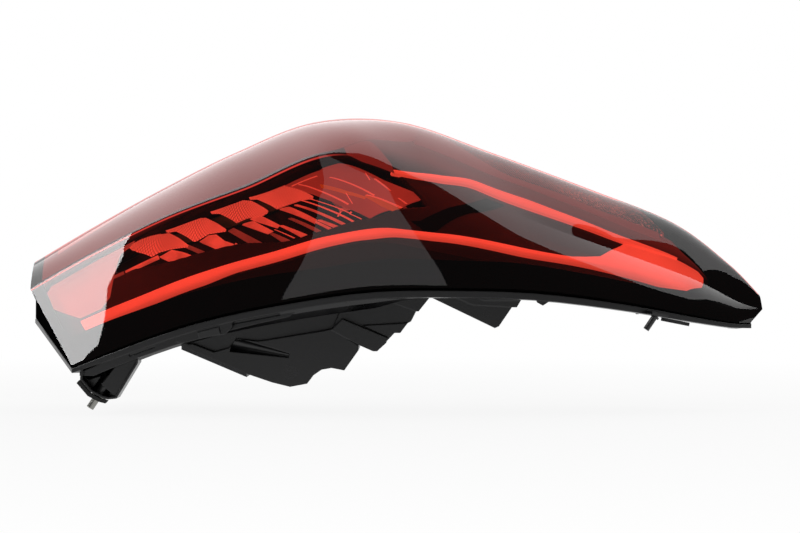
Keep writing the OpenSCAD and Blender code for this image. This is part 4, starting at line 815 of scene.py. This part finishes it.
# the lit cells and panels glow with painted light
leafKinds = {
    "stopTops": (topLeaves, "stop_optics", "optic_red", {
        "long": 90, "wide": 60, "rise": 0.8, "wall": 1.6, "pillow": 0.3, "pitch": 1.9,
        "valley": 0.35, "base": "#f3ccbc", "light": "#ff9a8a", "strength": 1.0, "deep": 0.8,
        "cloud": 70}),
    "stopBodies": (bodyLeaves, "stop_reflector", "stop_reflector", {
        "long": 60, "wide": 16, "rise": 1.0, "wall": 1.6, "base": "#d9aa9f", "light": "#ff9a8a",
        "strength": 0.65, "deep": 0.6, "cloud": 90}),
    "stopLines": (lineLeaves, None, "optic_red", {
        "long": 30, "wide": 6, "rise": 0.1, "wall": 0.5, "base": "#f3ccbc", "light": "#ffa295",
        "strength": 0.55}),
    # dim cell bodies: the bodies' glow turned down as painted shade
    "stopDim": (dimLeaves, None, "stop_reflector", {
        "long": 40, "wide": 12, "rise": 0.3, "wall": 1.0, "base": "#958989", "light": "#ffa295",
        "strength": 0.2, "deep": 0.6, "cloud": 80}),
    "indicatorPanel": (panelLeaves, "indicator_inner_lens", "optic_red", {
        "long": 120, "wide": 60, "rise": 0.1, "wall": 1.2, "base": "#8c7b7b", "light": "#ff8a7d",
        "strength": 0.27, "deep": 0.75, "cloud": 22}),
    "indicatorAmber": (amberLeaves, None, "amber", {
        "long": 50, "wide": 8, "rise": 0.1, "wall": 0.35, "base": "#d98a30", "light": "#ffb050",
        "strength": 0.3, "deep": 0.7}),
    "paintedEndGlare": (glareLeaves, None, "stop_reflector", {
        "long": 60, "wide": 20, "rise": 0.1, "wall": 1.0, "base": "#b9a9a9", "light": "#ffa295",
        "strength": 0.3, "deep": 0.8}),
    "wedgeCover": (wedgeLeaves, None, "bezel_dark", {
        "long": 60, "wide": 20, "rise": 0.1, "wall": 1.0, "base": "#131112", "light": "#000000",
        "strength": 0.0, "deep": 0.7, "specular": 0.0}),
}
for name, (leaves, node, slotName, s) in leafKinds.items():
    piece = leafPiece(name, leaves, s)
    piece.data.materials.append(glowMaterial(name + "Glow", s))
    if node:
        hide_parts(node)
print("cells made")

# upper strip along the silhouette
stripSettings = {"steps": 160, "rows": 10, "span": (0.3, 2.25), "top": 8.5, "rise": 2,
                 "bottom": 11.8, "base": "#a89c9c", "light": "#fff0f0", "strength": 0.02,
                 "deep": 0.7}
stripLow = [(0.3, 1.55), (1.05, 1.685), (1.24, 1.705), (1.75, 1.93), (2.3, 1.965)]
stripHigh = [(0.3, 1.97), (2.3, 1.99)]
strip = ribbon("upperStrip", stripLow, stripHigh, stripSettings)
strip.data.materials.append(glowMaterial("stripGlow", stripSettings))
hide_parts("upper_light_strip")
print("upper strip made")

# reflex panel with upright lines and a dotted lower border
reflexSettings = {
    "span": (5.33, 7.76), "highRow": 2.08, "leastRows": 0.1, "top": 3.3, "bottom": 6.2,
    "dark": "#1d1415", "light": "#453637", "rough": 0.35, "specular": 0.3, "pitch": 2.3,
    "lean": 0.25, "crossTurn": 2.4, "crossHeight": 0.25, "bump": 0.5, "bumpDepth": 0.0005,
    "grit": 900, "gritLimit": 0.6, "sparkSpan": (88.0, 100.0), "spark": "#ffede7",
    "sparkGlow": 0.3}
reflexLow = [(5.32, 1.931), (5.75, 1.663), (6.06, 1.557), (6.5, 1.546), (7.03, 1.496),
             (7.79, 1.501)]


def reflexPiece(s):
    # sheet of prisms between its lower line and an even row
    t, f = grid(240, 80, s["span"])
    low = curve(reflexLow, t)
    v = mix(low, np.maximum(s["highRow"], low + s["leastRows"]), f)
    upper = under(t, v, s["top"])
    lower = under(t, v, s["bottom"])
    return shell("reflexPanel", upper, lower, lengths(upper), sharpAngle=50)


def reflexMaterial(s):
    # moulded prisms under smoky plastic: dark, with leaning paler lines that a second wave breaks
    # up, and specks that glow more towards the right end as painted glints
    mat, tree = newMaterial("reflexPrisms")
    x, y = flatParts(tree)
    place = add(tree, "TexCoord").outputs["Object"]
    lean = add(tree, "Math", multiplyAdd, {0: y, 1: s["lean"], 2: x})
    turn = add(tree, "Math", multiply, {0: lean, 1: 2 * math.pi / s["pitch"]})
    wave = add(tree, "Math", sine, {0: turn})
    crossTurn = add(tree, "Math", multiply, {0: y, 1: s["crossTurn"]})
    cross = add(tree, "Math", sine, {0: crossTurn})
    height = add(tree, "Math", multiplyAdd, {0: cross, 1: s["crossHeight"], 2: wave})
    level = add(tree, "Math", multiplyAdd, {0: height, 1: 0.4, 2: 0.5})
    color = add(tree, "ValToRGB", inputs={"Fac": level},
                stops=[(0.15, linear(s["dark"])), (0.85, linear(s["light"]))])
    grit = add(tree, "TexNoise", inputs={"Vector": place, "Scale": s["grit"], "Detail": 1})
    speck = add(tree, "Math", {"operation": "GREATER_THAN"}, {0: grit, 1: s["gritLimit"]})
    right = add(tree, "MapRange", inputs={
        "Value": x, "From Min": s["sparkSpan"][0], "From Max": s["sparkSpan"][1]})
    spark = add(tree, "Math", multiply, {0: speck, 1: right})
    glow = add(tree, "Math", multiply, {0: spark, 1: s["sparkGlow"]})
    normal = add(tree, "Bump", inputs={
        "Strength": s["bump"], "Distance": s["bumpDepth"], "Height": height})
    body = add(tree, "BsdfPrincipled", inputs={
        "Base Color": color, "Roughness": s["rough"], "Specular IOR Level": s["specular"],
        "Normal": normal, "Emission Color": linear(s["spark"]), "Emission Strength": glow})
    add(tree, "OutputMaterial", inputs={"Surface": body})
    return mat


reflex = reflexPiece(reflexSettings)
reflex.data.materials.append(reflexMaterial(reflexSettings))
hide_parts("reflex_reflector")


def beads(name, centers, radius, sides=8, layers=5):
    # small closed balls at the given points: layers of rings between two poles
    turn = np.linspace(0, 2 * math.pi, sides, endpoint=False)
    tilt = np.linspace(0, math.pi, layers + 2)[1:-1]
    ring = np.stack([np.sin(tilt)[:, None] * np.cos(turn), np.sin(tilt)[:, None] * np.sin(turn),
                     np.cos(tilt)[:, None] * np.ones(sides)], -1).reshape(-1, 3)
    ball = np.concatenate([ring, [[0, 0, 1], [0, 0, -1]]])
    i, j = np.meshgrid(np.arange(layers - 1), np.arange(sides), indexing="ij")
    a, b = i * sides + j, i * sides + (j + 1) % sides
    faces = np.stack([a, a + sides, b + sides, b], -1).reshape(-1, 4).tolist()
    top, bottom = len(ring), len(ring) + 1
    for j in range(sides):
        k = (j + 1) % sides
        faces.append([top, j, k])
        faces.append([bottom, (layers - 1) * sides + k, (layers - 1) * sides + j])
    verts = (np.asarray(centers)[:, None] + ball[None] * np.asarray(radius)[:, None, None])
    every = [[x + n * len(ball) for x in face] for n in range(len(centers)) for face in faces]
    return addMesh(name, verts, every)


# dots along the lower border, closer together and smaller at its left end, glowing with painted light
dotSettings = {"span": (5.345, 7.75), "below": 0.006, "depth": 3.6, "gaps": (1.2, 4.2),
               "size": (0.35, 0.8), "base": "#f3ccbc", "light": "#fff3f0", "strength": 0.2}


def dotPlaces(s):
    # centres along the border line, and each one's share of the line
    t = np.linspace(*s["span"], 2000)
    line = under(t, curve(reflexLow, t) - s["below"], s["depth"])
    run = np.concatenate([[0], np.cumsum(np.linalg.norm(np.diff(line, axis=0), axis=1))])
    at = [0.0]
    while at[-1] < run[-1] - s["gaps"][1]:
        at.append(at[-1] + mix(*s["gaps"], at[-1] / run[-1]))
    return np.stack([np.interp(at, run, line[:, k]) for k in range(3)], -1), np.array(at) / run[-1]


dotCenters, dotShares = dotPlaces(dotSettings)
dots = beads("reflexDots", dotCenters, mix(*dotSettings["size"], dotShares))
dots.data.materials.append(glowMaterial("dotGlow", dotSettings))
print("reflex panel made")

# two drops of light in the stop cells: station, row, depth and radius
drops = [(2.663, 0.647, 15, 0.9), (3.998, 0.602, 15, 0.7)]
dropCenters = [under(t, v, d) for t, v, d, radius in drops]
cellDrops = beads("cellDrops", dropCenters, [drop[3] for drop in drops], 12, 9)
cellDrops.data.materials.append(barGlow)
print("drops made")

# white floor: seen as white with a faint real shadow, and a plain pale grey for other light
stageSettings = {"side": 3.0, "gap": 0.002, "floorGlow": 0.9, "fade": (0.25, 0.85),
                 "floorDark": "#c8c8c8", "floorLight": "#cccccc", "cloud": 60}


def floorMaterial(s):
    mat, tree = newMaterial("floorWhite")
    path = add(tree, "LightPath").outputs
    through = add(tree, "Math", maximum, {0: path["Is Transmission Ray"], 1: path["Is Glossy Ray"]})
    seen = add(tree, "Math", maximum, {0: path["Is Camera Ray"], 1: through})
    place = add(tree, "TexCoord").outputs["Object"]
    cloud = add(tree, "TexNoise", inputs={"Vector": place, "Scale": s["cloud"]})
    tone = add(tree, "ValToRGB", inputs={"Fac": cloud},
               stops=[(0.3, linear(s["floorDark"])), (0.7, linear(s["floorLight"]))])
    matte = add(tree, "BsdfDiffuse", inputs={"Color": tone})
    glow = add(tree, "Emission", inputs={"Color": grey(1.0)})
    # the matte share fades out away from the object, so that no horizon shows
    away = add(tree, "VectorMath", {"operation": "LENGTH"}, {0: place}).outputs["Value"]
    share = add(tree, "MapRange", inputs={
        "Value": away, "From Min": s["fade"][0], "From Max": s["fade"][1],
        "To Min": s["floorGlow"], "To Max": 1.0})
    factor = add(tree, "Math", multiply, {0: seen, 1: share})
    blend = add(tree, "MixShader", inputs={0: factor, 1: matte, 2: glow})
    add(tree, "OutputMaterial", inputs={"Surface": blend})
    return mat


side = stageSettings["side"]
floorZ = float(cadBox[0][2]) - stageSettings["gap"]
floorMesh = bpy.data.meshes.new("floor")
floorMesh.from_pydata([(-side, -side, floorZ), (side, -side, floorZ), (side, side, floorZ),
                       (-side, side, floorZ)], [], [(0, 1, 2, 3)])
floorMesh.materials.append(floorMaterial(stageSettings))
floor = bpy.data.objects.new("floor", floorMesh)
scene.collection.objects.link(floor)

# studio: white to the eye, weak for matt surfaces, and for reflections white behind the lamp and
# nearly dark on the camera's side
worldSettings = {"matt": 0.06, "mirror": [(0.0, grey(0.0)), (0.5, grey(0.0)), (0.66, grey(0.35)),
                                          (0.9, grey(0.9)), (1.0, grey(1.0))]}


def studioWorld(s):
    world = bpy.data.worlds.new("studio")
    world.use_nodes = True
    tree = world.node_tree
    tree.nodes.clear()
    direction = add(tree, "TexCoord").outputs["Generated"]
    y = add(tree, "SeparateXYZ", inputs={0: direction}).outputs["Y"]
    behind = add(tree, "Math", multiplyAdd, {0: y, 1: 0.5, 2: 0.5})
    backdrop = add(tree, "ValToRGB", inputs={"Fac": behind}, stops=s["mirror"])
    level = add(tree, "SeparateColor", inputs={0: backdrop})
    path = add(tree, "LightPath").outputs
    mirrored = add(tree, "Math", multiply, {0: path["Is Glossy Ray"], 1: level})
    through = add(tree, "Math", maximum, {0: path["Is Camera Ray"], 1: path["Is Transmission Ray"]})
    seen = add(tree, "Math", maximum, {0: mirrored, 1: through})
    color = add(tree, "Mix", blended, {"Factor": seen, "A": grey(s["matt"]), "B": grey(1.0)})
    background = add(tree, "Background", inputs={"Color": color})
    add(tree, "OutputWorld", inputs={"Surface": background})
    return world


scene.world = studioWorld(worldSettings)

# softboxes: center, target, direction of the long side and size in m
lampSettings = {
    "leftSoftbox": {"center": (-1.579, -0.553, 1.457), "target": (0.142, -0.373, 0.367),
                    "across": (-0.28, -0.85, -0.58), "size": (1.25, 0.4), "radiance": 11.0},
    "topSoftbox": {"center": (-0.02, -1.25, 1.55), "target": (0.06, -0.08, 0.07),
                   "across": (1, 0, 0), "size": (0.95, 1.0), "radiance": 0.75},
    "overheadSoftbox": {"center": (0.3, 1.5, 1.6), "target": (0.3, 1.5, 0),
                        "across": (0.927, -0.375, 0), "size": (4.6, 2.75), "radiance": 1.6},
}


def areaLamp(name, s):
    # turned so that its back points away from the target and x runs along its long side
    data = bpy.data.lights.new(name, "AREA")
    data.shape = "RECTANGLE"
    data.size, data.size_y = s["size"]
    data.energy = s["radiance"] * math.pi * data.size * data.size_y
    obj = bpy.data.objects.new(name, data)
    scene.collection.objects.link(obj)
    back = np.array(s["center"], float) - np.array(s["target"], float)
    back /= np.linalg.norm(back)
    x = np.array(s["across"], float)
    x -= x.dot(back) * back
    x /= np.linalg.norm(x)
    turn = np.eye(4)
    turn[:3] = np.stack([x, np.cross(back, x), back, s["center"]], -1)
    obj.matrix_world = Matrix(turn.tolist())


for name, s in lampSettings.items():
    areaLamp(name, s)

# level camera, as the photograph was taken
cameraSettings = {"lens": 99.26, "sensor": 36, "place": (0.080, -1.545, 0.055), "turn": (90, 0, 0)}
cameraData = bpy.data.cameras.new("camera")
cameraData.lens = cameraSettings["lens"]
cameraData.sensor_width = cameraSettings["sensor"]
cameraObj = bpy.data.objects.new("camera", cameraData)
cameraObj.location = cameraSettings["place"]
cameraObj.rotation_euler = [math.radians(angle) for angle in cameraSettings["turn"]]
scene.collection.objects.link(cameraObj)
scene.camera = cameraObj
scene.view_settings.view_transform = "Standard"
scene.cycles.transparent_max_bounces = 16
print("stage set")
